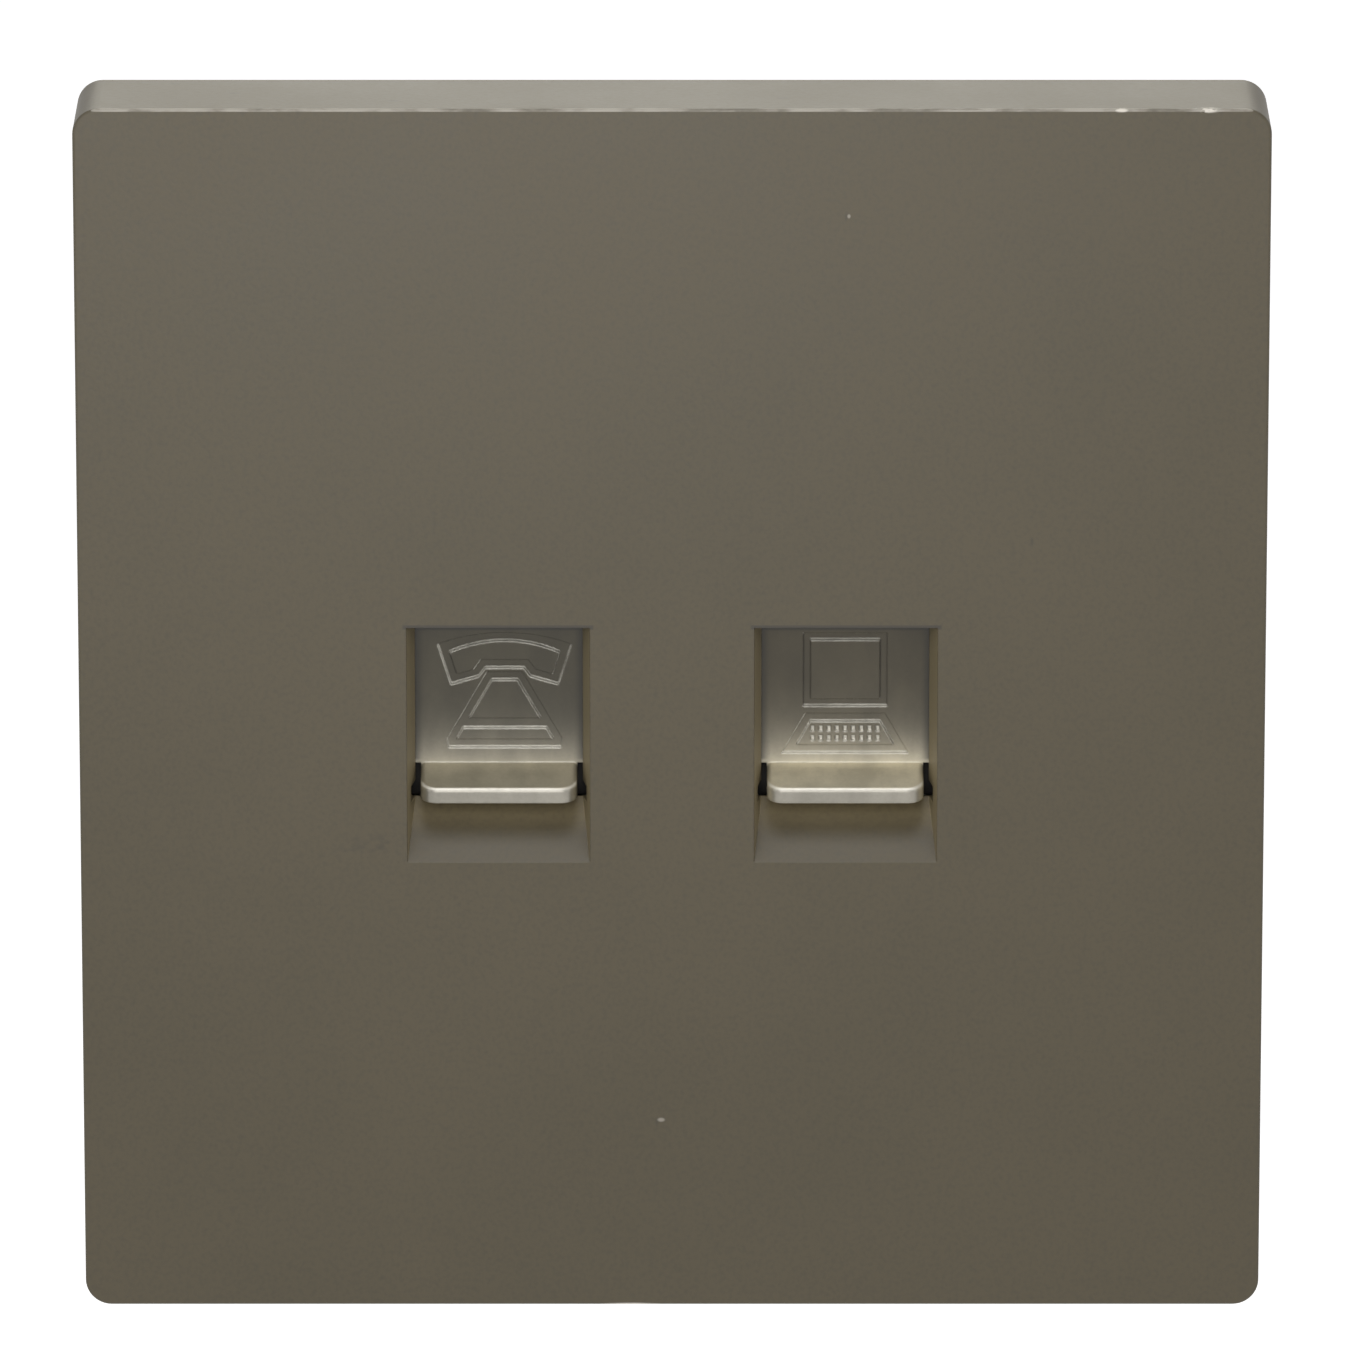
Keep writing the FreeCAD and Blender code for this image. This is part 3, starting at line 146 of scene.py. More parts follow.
class Recipe:
    """One material or world in the making: its nodes, and what they end in."""

    COLOUR_A, COLOUR_B, COLOUR_RESULT = 6, 7, 2

    def __init__(self, owner: Union[bpy.types.Material, bpy.types.World]) -> None:
        """Empties the owner's nodes, ready for new ones.

        Args:
            owner: The material or world that the nodes belong to.
        """
        owner.use_nodes = True
        self.owner = owner
        self.tree = owner.node_tree
        self.tree.nodes.clear()
        self._place: Optional[Wire] = None
        self._softened: Dict[float, Wire] = {}

    @classmethod
    def named(cls, name: str) -> "Recipe":
        """Starts a new material of that name."""
        return cls(bpy.data.materials.new(name))

    def node(
        self,
        kind: str,
        settings: Optional[Dict[str, object]] = None,
        sockets: Optional[Dict[Union[str, int], object]] = None,
    ) -> bpy.types.Node:
        """Adds one node.

        Args:
            kind: The node's type.
            settings: Its own settings, set first.
            sockets: The values of its input sockets, or the wires that feed them.

        Returns:
            The node.
        """
        made = self.tree.nodes.new(kind)
        for name, value in (settings or {}).items():
            setattr(made, name, value)
        for name, value in (sockets or {}).items():
            if isinstance(value, Wire):
                self.tree.links.new(value.socket, made.inputs[name])
            else:
                made.inputs[name].default_value = value
        return made

    def maths(self, operation: str, *values: Value) -> Wire:
        """One Math node's result on values."""
        made = self.node("ShaderNodeMath", {"operation": operation}, dict(enumerate(values)))
        return Wire(self, made.outputs["Value"])

    def vectors(
        self, operation: str, *values: object, length: bool = False, scale: Optional[float] = None
    ) -> Wire:
        """One Vector Math node's result.

        Args:
            operation: What it does to the vectors.
            values: The vectors, or the wires that carry them.
            length: Whether the result is a value, not a vector.
            scale: The factor of a SCALE operation.

        Returns:
            The result.
        """
        sockets: Dict[Union[str, int], object] = dict(enumerate(values))
        if scale is not None:
            sockets["Scale"] = scale
        made = self.node("ShaderNodeVectorMath", {"operation": operation}, sockets)
        return Wire(self, made.outputs["Value" if length else "Vector"])

    def blend(self, share: Value, first: object, second: object) -> Wire:
        """Mixes two colours.

        Args:
            share: How much of the second colour shows.
            first: The colour, or the wire, at share 0.
            second: The colour, or the wire, at share 1.

        Returns:
            The mixed colour.
        """
        sides = [side if isinstance(side, Wire) else (*side, 1.0) for side in (first, second)]
        mixed_inputs = {"Factor": share, self.COLOUR_A: sides[0], self.COLOUR_B: sides[1]}
        made = self.node("ShaderNodeMix", {"data_type": "RGBA"}, mixed_inputs)
        return Wire(self, made.outputs[self.COLOUR_RESULT])

    @property
    def place(self) -> Wire:
        """The point on the piece, in millimetres in the part's own frame.

        Returns:
            The same wire each time.
        """
        if self._place is None:
            made = self.node("ShaderNodeTexCoord")
            self._place = self.vectors("SCALE", Wire(self, made.outputs["Object"]), scale=1 / MM)
        return self._place

    def split(self, vector: Wire) -> Tuple[Wire, Wire, Wire]:
        """A vector's x, y and z as separate values."""
        made = self.node("ShaderNodeSeparateXYZ", {}, {"Vector": vector})
        return tuple(Wire(self, made.outputs[axis]) for axis in "XYZ")

    def along(self) -> Tuple[Wire, Wire, Wire]:
        """The point's x, y and z in millimetres, as separate values."""
        return self.split(self.place)

    def softened(self, radius: float) -> Wire:
        """The way that the surface faces, as if its edges were rounded off.

        Args:
            radius: The radius of the rounding, in millimetres.

        Returns:
            The normal, which is the same wire each time for one radius.
        """
        if radius not in self._softened:
            samples = {"samples": ROUNDING_SAMPLES}
            made = self.node("ShaderNodeBevel", samples, {"Radius": radius * MM})
            self._softened[radius] = Wire(self, made.outputs["Normal"])
        return self._softened[radius]

    def facing(self, radius: float) -> Tuple[Wire, Wire, Wire]:
        """The softened normal in the part's own frame.

        Args:
            radius: The radius of the rounding, in millimetres.

        Returns:
            The normal's x, y and z as separate values.
        """
        turn = {"vector_type": "NORMAL", "convert_from": "WORLD", "convert_to": "OBJECT"}
        made = self.node("ShaderNodeVectorTransform", turn, {"Vector": self.softened(radius)})
        return self.split(Wire(self, made.outputs["Vector"]))

    def noise(
        self, size: float, detail: float = 2.0, stretch: Point = (1.0, 1.0, 1.0), seed: float = 0.0
    ) -> Wire:
        """Soft noise about 0.5.

        Args:
            size: The size of its lumps, in millimetres.
            detail: How many finer octaves it has.
            stretch: How many times longer the lumps are along each axis.
            seed: A shift that gives another pattern.

        Returns:
            The noise value.
        """
        squeezed = self.vectors("DIVIDE", self.place, tuple(size * part for part in stretch))
        made = self.node(
            "ShaderNodeTexNoise",
            {"noise_dimensions": "4D"},
            {"Vector": squeezed, "W": seed, "Scale": 1.0, "Detail": detail, "Roughness": 0.55},
        )
        return Wire(self, made.outputs["Fac"])

    def near(self, point: Point, radius: float, stretch: Point = (1.0, 1.0, 1.0)) -> Wire:
        """A soft patch about one point.

        Args:
            point: The patch's middle, in millimetres.
            radius: Where it has faded out, in millimetres.
            stretch: How many times longer it is along each axis.

        Returns:
            The patch's mask, 1 in its middle.
        """
        away = self.vectors("SUBTRACT", self.place, point)
        squeezed = self.vectors("DIVIDE", away, stretch)
        solid_share = 0.35
        return self.vectors("LENGTH", squeezed, length=True).rise(radius, radius * solid_share)

    def bump(self, height: Value, depth: float, after: Optional[Wire] = None) -> Wire:
        """A normal that follows a height.

        Args:
            height: The height, from 0 to 1.
            depth: What 1 stands for, in millimetres.
            after: A normal to start from.

        Returns:
            The bumped normal.
        """
        sockets: Dict[Union[str, int], object] = {"Height": height, "Strength": 1.0}
        sockets["Distance"] = depth * MM
        if after is not None:
            sockets["Normal"] = after
        made = self.node("ShaderNodeBump", {}, sockets)
        return Wire(self, made.outputs["Normal"])

    def surface(self, **sockets: object) -> bpy.types.Material:
        """Ends the recipe in one surface shader.

        Args:
            sockets: The shader's sockets, with _ for the spaces in their names.

        Returns:
            The finished material.
        """
        named = {}
        for name, value in sockets.items():
            words = [word if word == "IOR" else word.capitalize() for word in name.split("_")]
            named[" ".join(words)] = (*value, 1.0) if isinstance(value, tuple) else value
        shader = self.node("ShaderNodeBsdfPrincipled", {}, named)
        self.node("ShaderNodeOutputMaterial", {}, {"Surface": Wire(self, shader.outputs["BSDF"])})
        return self.owner

    def seen(self) -> Wire:
        """Tells what the camera sees, straight, by gloss or through glass, from other light.

        Returns:
            1 for what is seen, 0 for other light.
        """
        path = self.node("ShaderNodeLightPath")
        kinds = ("Camera", "Glossy", "Transmission")
        camera, gloss, glass = (Wire(self, path.outputs[f"Is {kind} Ray"]) for kind in kinds)
        return camera.over(gloss).over(glass)


@dataclass(frozen=True)
class PlateLacquer:
    """The sprayed metallic lacquer of the cover plate, with its knocks and flecks, and with
    painted light and shade in its windows and a painted highlight along its top edge.
    """

    name: str = "plate_lacquer"
    colour: Colour = (0.069, 0.056, 0.031)
    pale: Colour = (0.078, 0.063, 0.036)
    bare_and_highlight: Colour = (0.75, 0.7, 0.62)
    # Colour of the pits and smudges, and of the painted shade along the windows' top edges.
    dark: Colour = (0.03, 0.026, 0.02)
    rough: float = 0.47
    cloud_rough: float = 0.05
    grain_rough: float = 0.12
    cloud_size: float = 16.0
    grain_size: float = 0.34
    grain_depth: float = 0.006
    peel_size: float = 0.5
    peel_depth: float = 0.008
    soft: float = 0.12
    glint: float = 0.5
    glint_base: float = 0.16
    pit: float = 0.9
    pit_level: float = 0.56
    wall_painted_light: float = 2.8
    ramp_painted_light: float = 2.3
    dirt: float = 0.8
    smudge: float = 0.35
    wear_and_highlight: float = 0.45
    fleck: float = 0.3
    half_height: float = 45.0
    front: float = -9.6
    edge_round: float = 0.3
    windows_across: Span = (20.0, 19.5)
    windows_up: Span = (14.0, 13.5)
    wall_front: Span = (-9.6, -9.3)
    ramp_head: Span = (-9.8, -8.0)
    dirt_foot: Span = (6.3, 6.4)
    dirt_head: Span = (6.72, 6.6)
    dirt_ends: Span = (7.0, 6.8)
    face_nicks: Sequence[Span] = ((26.0, 12.9), (-1.1, -31.0), (12.5, 37.0))
    top_nicks: Sequence[Span] = (
        (-35.9, -1.6),
        (-31.5, -4.6),
        (34.0, -3.4),
        (8.0, -6.1),
        (-20.0, -7.0),
    )

    def mixed(self) -> bpy.types.Material:
        """Mixes the finish.

        Returns:
            The finished material.
        """
        recipe = Recipe.named(self.name)
        cloud = recipe.noise(self.cloud_size, 3.0, seed=2.0).rise(0.3, 0.7)
        grain = recipe.noise(self.grain_size, 2.0, seed=5.0)
        colour = recipe.blend(cloud, self.colour, self.pale)
        colour = recipe.blend((grain - 0.5) * self.glint + self.glint_base, colour, self.pale)
        pits = ((self.pit_level - grain) * self.pit).over(0.0)
        colour = recipe.blend(pits, colour, self.dark)
        colour = self._window_tones(recipe, colour)
        # Bare lacquer at the chips and flecks, and worn lacquer with a painted highlight along the
        # top edge.
        bare_and_highlight = (self._worn_and_highlit_edge(recipe) * self.wear_and_highlight).over(self._chips(recipe))
        bare_and_highlight = bare_and_highlight.over(self._flecks(recipe) * self.fleck)
        colour = recipe.blend(bare_and_highlight, colour, self.bare_and_highlight)
        rough = self.rough + (grain - 0.5) * self.grain_rough + (cloud - 0.5) * self.cloud_rough
        peel = recipe.noise(self.peel_size, 1.0, seed=1.0)
        normal = recipe.bump(peel, self.peel_depth, recipe.softened(self.soft))
        normal = recipe.bump(grain, self.grain_depth, normal)
        return recipe.surface(
            base_color=colour, roughness=rough, metallic=0.0, normal=normal, IOR=1.5
        )

    def _window_tones(self, recipe: Recipe, colour: Wire) -> Wire:
        """Paints light on the windows' side walls and ramps, and paints shade along their top
        edges.

        Args:
            recipe: The material in the making.
            colour: The colour so far.

        Returns:
            The colour with painted light on the windows' walls and ramps, painted shade at their
            top edges, and the smudges.
        """
        across, depth, up = recipe.along()
        sideways, _, upward = recipe.facing(self.soft)
        inside = abs(across).rise(*self.windows_across) * abs(up).rise(*self.windows_up)
        # Painted light: the windows' side walls, and the ramps under the lips, are made paler
        # where they lie in shade.
        walls = inside * abs(sideways).rise(0.4, 0.9) * depth.rise(*self.wall_front)
        ramps = inside * upward.rise(0.05, 0.2) * up.rise(*self.ramp_head)
        # Painted shade: a dark line along each window's top edge, and on the edge's downward
        # rounding.
        line = up.rise(*self.dirt_foot) * up.rise(*self.dirt_head)
        line = line * abs(abs(across) - Half.COMPUTER.value).rise(*self.dirt_ends)
        dirt = line.over(inside * upward.rise(-0.1, -0.5)) * self.dirt
        for mask, gain in ((walls, self.wall_painted_light), (ramps, self.ramp_painted_light)):
            colour = recipe.blend(mask, colour, recipe.vectors("SCALE", colour, scale=gain))
        return recipe.blend((self._smudges(recipe) * self.smudge).over(dirt), colour, self.dark)

    def _worn_and_highlit_edge(self, recipe: Recipe) -> Wire:
        """The thin broken line along the top of the front edge: worn lacquer with a painted
        highlight.

        Args:
            recipe: The material in the making.

        Returns:
            The line's mask.
        """
        _, depth, up = recipe.along()
        rounded_off = self.edge_round * 0.59
        crest = up - depth - (self.half_height - self.front - rounded_off)
        line = crest.rise(-0.035, -0.008)
        broken = recipe.noise(1.2, 4.0, (3.0, 1.0, 1.0), 8.0).rise(0.34, 0.6)
        return line * (broken * 0.8 + 0.2)

    def _chips(self, recipe: Recipe) -> Wire:
        """Where the lacquer is knocked off: twice on the top edge, once on the bottom edge.

        Args:
            recipe: The material in the making.

        Returns:
            The chips' mask.
        """
        top = self.half_height
        chips = recipe.near((38.3, self.front, top - 0.1), 0.8, (1.5, 1.0, 0.3))
        chips = chips.over(recipe.near((32.2, self.front, top - 0.1), 0.6, (1.2, 1.0, 0.3)))
        chips = chips * recipe.noise(0.5, 2.0, (2.0, 1.0, 1.0), 9.0).rise(0.42, 0.52)
        return chips.over(recipe.near((-3.0, self.front, -top), 0.9, (3.0, 1.0, 0.22)) * 0.9)

    def _flecks(self, recipe: Recipe) -> Wire:
        """The two pale specks on the face."""
        fleck = recipe.near((12.7, self.front, 37.1), 0.16, (1.0, 1.0, 1.3))
        return fleck.over(recipe.near((-0.8, self.front, -30.8), 0.26, (1.4, 1.0, 0.8)))

    def _smudges(self, recipe: Recipe) -> Wire:
        """A faint smudge beside the left ramp, and nicks in the face and the top side.

        Args:
            recipe: The material in the making.

        Returns:
            The mask of them all.
        """
        smudge = recipe.near((-21.6, self.front, -10.0), 2.4, (1.4, 1.0, 0.5))
        smudge = smudge * recipe.noise(0.8, 3.0, (2.0, 1.0, 1.0), 3.0).rise(0.45, 0.62)
        for across, up in self.face_nicks:
            smudge = smudge.over(recipe.near((across, self.front, up), 0.24, (0.6, 1.0, 1.6)))
        for across, depth in self.top_nicks:
            nick = recipe.near((across, depth, self.half_height), 0.4, (1.4, 1.0, 1.0))
            smudge = smudge.over(nick)
        return smudge


@dataclass(frozen=True)
class ShutterLacquer:
    """The pale metallic lacquer of a shutter, with painted shade that darkens its face towards the
    top and painted highlights on its edges.
    """

    name: str
    middle: float
    # The face's colour at its top, in painted shade, and at its foot, where it is lit.
    colour: Colour
    lit_foot: Colour
    lip: Colour
    keys: float = 0.0
    front: Colour = (0.24, 0.225, 0.19)
    # Colour of the painted shade at the face's sides and under the window's top edge.
    dark: Colour = (0.012, 0.011, 0.009)
    # Colour of the painted highlights and of the painted light on the key floors.
    bright: Colour = (0.86, 0.83, 0.74)
    rough: float = 0.34
    cloud_rough: float = 0.06
    grain_rough: float = 0.1
    metal: float = 0.5
    highlight_metal_drop: float = 0.4
    coat: float = 0.3
    coat_rough: float = 0.2
    fading: float = 0.52
    cloud_gain: float = 1.4
    cloud_size: float = 3.2
    grain_size: float = 0.22
    grain_depth: float = 0.004
    peel_size: float = 0.9
    peel_depth: float = 0.012
    soft: float = 0.18
    side_shade: float = 0.7
    head_shade: float = 0.75
    foot: float = -4.85
    sight: float = 5.3
    side_span: Span = (5.4, 6.2)
    face_depth: Span = (-4.9, -5.0)
    key_ends: Span = (2.8, 2.7)
    key_foot: Span = (-3.4, -3.3)
    key_head: Span = (-1.9, -2.0)
    key_depth: Span = (-5.38, -5.25)

    @classmethod
    def of(cls, half: Half) -> "ShutterLacquer":
        """The lacquer of one half's shutter. The computer's is paler, and its key floors are
        painted bright as if lit.

        Args:
            half: The half of the socket.

        Returns:
            The finish.
        """
        name = f"{half.prefix}_shutter_lacquer"
        if half is Half.TELEPHONE:
            tones = ((0.036, 0.031, 0.019), (0.31, 0.285, 0.225), (0.38, 0.345, 0.255))
            return cls(name, half.value, *tones)
        tones = ((0.04, 0.033, 0.019), (0.46, 0.42, 0.325), (0.57, 0.52, 0.39))
        return cls(name, half.value, *tones, keys=0.7)

    def mixed(self) -> bpy.types.Material:
        """Mixes the finish.

        Returns:
            The finished material.
        """
        recipe = Recipe.named(self.name)
        across, _, up = recipe.along()
        cloud = recipe.noise(self.cloud_size, 3.0, (0.7, 1.0, 1.6), self.middle).rise(0.3, 0.7)
        grain = recipe.noise(self.grain_size, 2.0, seed=self.middle + 4.0)
        colour = self._painted_light_tones(recipe)
        # Painted shade down both sides of the face, beside the window's walls.
        sides = abs(across - self.middle).rise(*self.side_span)
        sides = sides * up.rise(self.foot, self.foot + 0.4)
        colour = recipe.blend(sides * self.side_shade, colour, self.dark)
        pale = recipe.vectors("SCALE", colour, scale=self.cloud_gain)
        colour = recipe.blend(cloud * 0.7 + (grain - 0.5) * 0.6, colour, pale)
        # Painted shadow of the window's top edge, in a band at the face's top.
        head = up.rise(self.sight - 0.25, self.sight)
        colour = recipe.blend(head * self.head_shade, colour, self.dark)
        # Painted highlights on the upward edges and the lip's nose, and painted light on the key
        # floors.
        edges = self._painted_highlights(recipe)
        keys = self._painted_key_light(recipe) * self.keys
        colour = recipe.blend(edges.over(keys), colour, self.bright)
        rough = self.rough + (grain - 0.5) * self.grain_rough + (cloud - 0.5) * self.cloud_rough
        peel = recipe.noise(self.peel_size, 1.0, seed=self.middle)
        normal = recipe.bump(peel, self.peel_depth, recipe.softened(self.soft))
        normal = recipe.bump(grain, self.grain_depth, normal)
        return recipe.surface(
            base_color=colour,
            roughness=rough,
            # Less metallic where the highlights are painted.
            metallic=self.metal - edges * self.highlight_metal_drop,
            coat_weight=self.coat,
            coat_roughness=self.coat_rough,
            normal=normal,
            IOR=1.5,
        )

    def _painted_light_tones(self, recipe: Recipe) -> Wire:
        """The lacquer's colours: the face, painted darker towards its top as shade under the
        window's edge and lighter at its foot; the lip; and the lip's front, which gets its own
        tone by the way it faces, as painted light and shade.

        Args:
            recipe: The material in the making.

        Returns:
            The colour before the painted shade at the sides and top, the clouds and the painted
            highlights.
        """
        _, _, up = recipe.along()
        _, forward, _ = recipe.facing(self.soft)
        # Painted shade: darker towards the top of the face, where the window's edge shades it,
        # lighter at its foot.
        lit_share = recipe.maths("POWER", self.fading, (up - self.foot).over(0.0))
        colour = recipe.blend(lit_share, self.colour, self.lit_foot)
        below = up.rise(self.foot + 0.02, self.foot - 0.06)
        colour = recipe.blend(below, colour, self.lip)
        # Painted light and shade: the lip's front gets its own tone by the way it faces.
        front = forward.rise(-0.5, -0.9) * up.rise(self.foot - 0.3, self.foot - 0.5)
        return recipe.blend(front, colour, self.front)

    def _painted_highlights(self, recipe: Recipe) -> Wire:
        """Painted highlights on the upward edges of the pressed lines and on the lip's front.

        Args:
            recipe: The material in the making.

        Returns:
            The edges' mask.
        """
        _, depth, up = recipe.along()
        sideways, _, upward = recipe.facing(self.soft)
        slant = sideways.over(0.0) * abs(upward)
        tilt = upward * 0.8 + abs(sideways) * 0.12 + slant * 3.0
        patchy = recipe.noise(1.3, 2.0, seed=self.middle + 9.0).rise(0.2, 0.6) * 0.5 + 0.5
        face = up.rise(self.foot, self.foot + 0.1) * depth.rise(*self.face_depth)
        lines = tilt.rise(0.05, 0.35) * face
        # Painted highlight along the lip's nose.
        nose = upward.rise(0.35, 0.6) * upward.rise(0.93, 0.8)
        nose = nose * up.rise(self.foot - 0.7, self.foot - 0.8)
        return (lines * 0.95).over(nose * 0.7) * patchy

    def _painted_key_light(self, recipe: Recipe) -> Wire:
        """The floors of the small pressed keys, painted as bright as the highlights, as if lit.

        Args:
            recipe: The material in the making.

        Returns:
            The floors' mask.
        """
        across, depth, up = recipe.along()
        rows = up.rise(*self.key_foot) * up.rise(*self.key_head)
        return rows * abs(across - self.middle).rise(*self.key_ends) * depth.rise(*self.key_depth)


@dataclass(frozen=True)
class MouldedPlastic:
    """Plain moulded plastic with a fine spark texture."""

    name: str
    colour: Colour
    rough: float = 0.5
    gloss: float = 0.5
    soft: float = 0.1
    cloud_size: float = 9.0
    cloud_rough: float = 0.12
    spark_size: float = 0.16
    spark_rough: float = 0.1
    spark_depth: float = 0.008

    def mixed(self) -> bpy.types.Material:
        """Mixes the finish.

        Returns:
            The finished material.
        """
        recipe = Recipe.named(self.name)
        cloud = recipe.noise(self.cloud_size, 2.0, seed=1.0)
        spark = recipe.noise(self.spark_size, 2.0, seed=6.0)
        pale = tuple(min(1.0, part * 1.1 + 0.004) for part in self.colour)
        colour = recipe.blend(cloud, self.colour, pale)
        rough = self.rough + (cloud - 0.5) * self.cloud_rough + (spark - 0.5) * self.spark_rough
        normal = recipe.bump(spark, self.spark_depth, recipe.softened(self.soft))
        return recipe.surface(
            base_color=colour,
            roughness=rough,
            metallic=0.0,
            specular_IOR_level=self.gloss,
            normal=normal,
        )


@dataclass(frozen=True)
class Metal:
    """Plated or drawn metal, with faint drawing lines along one axis."""

    name: str
    colour: Colour
    rough: float = 0.28
    grain: Point = (1.0, 1.0, 6.0)
    line_size: float = 0.1
    line_rough: float = 0.16
    line_depth: float = 0.004
    bloom_size: float = 1.4
    bloom_rough: float = 0.14
    dulling: float = 0.72

    def mixed(self) -> bpy.types.Material:
        """Mixes the finish.

        Returns:
            The finished material.
        """
        recipe = Recipe.named(self.name)
        lines = recipe.noise(self.line_size, 3.0, self.grain, 2.0)
        bloom = recipe.noise(self.bloom_size, 2.0, seed=7.0)
        dull = tuple(part * self.dulling for part in self.colour)
        colour = recipe.blend(bloom.rise(0.35, 0.75), self.colour, dull)
        rough = self.rough + (lines - 0.5) * self.line_rough + (bloom - 0.5) * self.bloom_rough
        normal = recipe.bump(lines, self.line_depth)
        return recipe.surface(base_color=colour, roughness=rough, metallic=1.0, normal=normal)


@dataclass(frozen=True)
class BoardLaminate:
    """Green solder mask over glass laminate, with the tracks showing through."""

    name: str
    first_tail: float
    pitch: float
    colour: Colour = (0.02, 0.11, 0.045)
    pale: Colour = (0.035, 0.16, 0.07)
    rough: float = 0.32
    weave_rough: float = 0.2
    weave_size: float = 0.3
    weave_depth: float = 0.006
    track_depth: float = 0.03
    track_middle: float = -1.0
    track_side: Span = (0.09, 0.06)
    track_end: Span = (7.6, 7.4)

    def mixed(self) -> bpy.types.Material:
        """Mixes the finish.

        Returns:
            The finished material.
        """
        recipe = Recipe.named(self.name)
        weft = recipe.noise(self.weave_size, 1.0, (2.0, 1.0, 1.0))
        warp = recipe.noise(self.weave_size, 1.0, (1.0, 1.0, 2.0))
        weave = weft * 0.5 + warp * 0.5
        across, _, up = recipe.along()
        lane = recipe.maths("FRACT", (across - self.first_tail) / (2 * self.pitch) + 0.5)
        tracks = abs(lane - 0.5).rise(*self.track_side)
        tracks = tracks * abs(up - self.track_middle).rise(*self.track_end)
        colour = recipe.blend(weave.rise(0.4, 0.6) * 0.5, self.colour, self.pale)
        colour = recipe.blend(tracks, colour, self.pale)
        rough = self.rough + (weave - 0.5) * self.weave_rough
        normal = recipe.bump(tracks, self.track_depth, recipe.bump(weave, self.weave_depth))
        return recipe.surface(base_color=colour, roughness=rough, metallic=0.0, normal=normal)


@dataclass
class Dressing:
    """What every sub-assembly does with its nodes."""

    nodes: Dict[str, bpy.types.Object] = field(default_factory=lambda: frame["nodes"])

    def dress(self, name: str, material: bpy.types.Material) -> None:
        """Gives a node its material.

        Args:
            name: The node's name.
            material: Its finish.
        """
        node = self.nodes[name]
        node.data.materials.clear()
        node.data.materials.append(material)
        LOG.info("%s is dressed in %s", name, material.name)


@dataclass
class RingedPieces:
    """What the small round pieces share that are modelled here, ring by ring."""

    half: Half

    @staticmethod
    def add_ring(
        made: bmesh.types.BMesh, centre: Vector, first: Vector, second: Vector, sides: int
    ) -> List[bmesh.types.BMVert]:
        """Adds one ring of points.

        Args:
            made: The mesh in the making.
            centre: The ring's middle, in millimetres.
            first: The way from the middle to the ring's first point.
            second: The way to its point a quarter turn on.
            sides: How many points it has.

        Returns:
            The ring's points in order.
        """
        ring = []
        for side in range(sides):
            turn = 2 * math.pi * side / sides
            point = centre + first * math.cos(turn) + second * math.sin(turn)
            ring.append(made.verts.new(point * MM))
        return ring

    @staticmethod
    def skin(made: bmesh.types.BMesh, rings: Sequence[List[bmesh.types.BMVert]]) -> None:
        """Skins a row of rings and closes its ends.

        Args:
            made: The mesh in the making.
            rings: The rings in order, all with the same number of points.
        """
        faces = [made.faces.new(rings[0]), made.faces.new(rings[-1])]
        for ring, after in zip(rings, rings[1:]):
            for side, point in enumerate(ring):
                turned = (side + 1) % len(ring)
                faces.append(made.faces.new((point, ring[turned], after[turned], after[side])))
        bmesh.ops.recalc_face_normals(made, faces=faces)

    def add(
        self, made: bmesh.types.BMesh, name: str, material: bpy.types.Material
    ) -> bpy.types.Object:
        """Turns a mesh into a smooth piece of the scene.

        Args:
            made: The finished mesh, which is used up.
            name: The piece's name without the half's.
            material: Its finish.

        Returns:
            The piece.
        """
        mesh = bpy.data.meshes.new(f"{self.half.prefix}_{name}")
        made.to_mesh(mesh)
        made.free()
        mesh.shade_smooth()
        mesh.materials.append(material)
        piece = bpy.data.objects.new(mesh.name, mesh)
        bpy.context.scene.collection.objects.link(piece)
        LOG.info("%s is made in %s", piece.name, material.name)
        return piece


@dataclass
class CoverPlate(Dressing):
    """The plate that covers the frame, with its windows."""

    finish: PlateLacquer = PlateLacquer()

    def build(self) -> None:
        """Dresses the plate."""
        self.dress("cover_plate", self.finish.mixed())


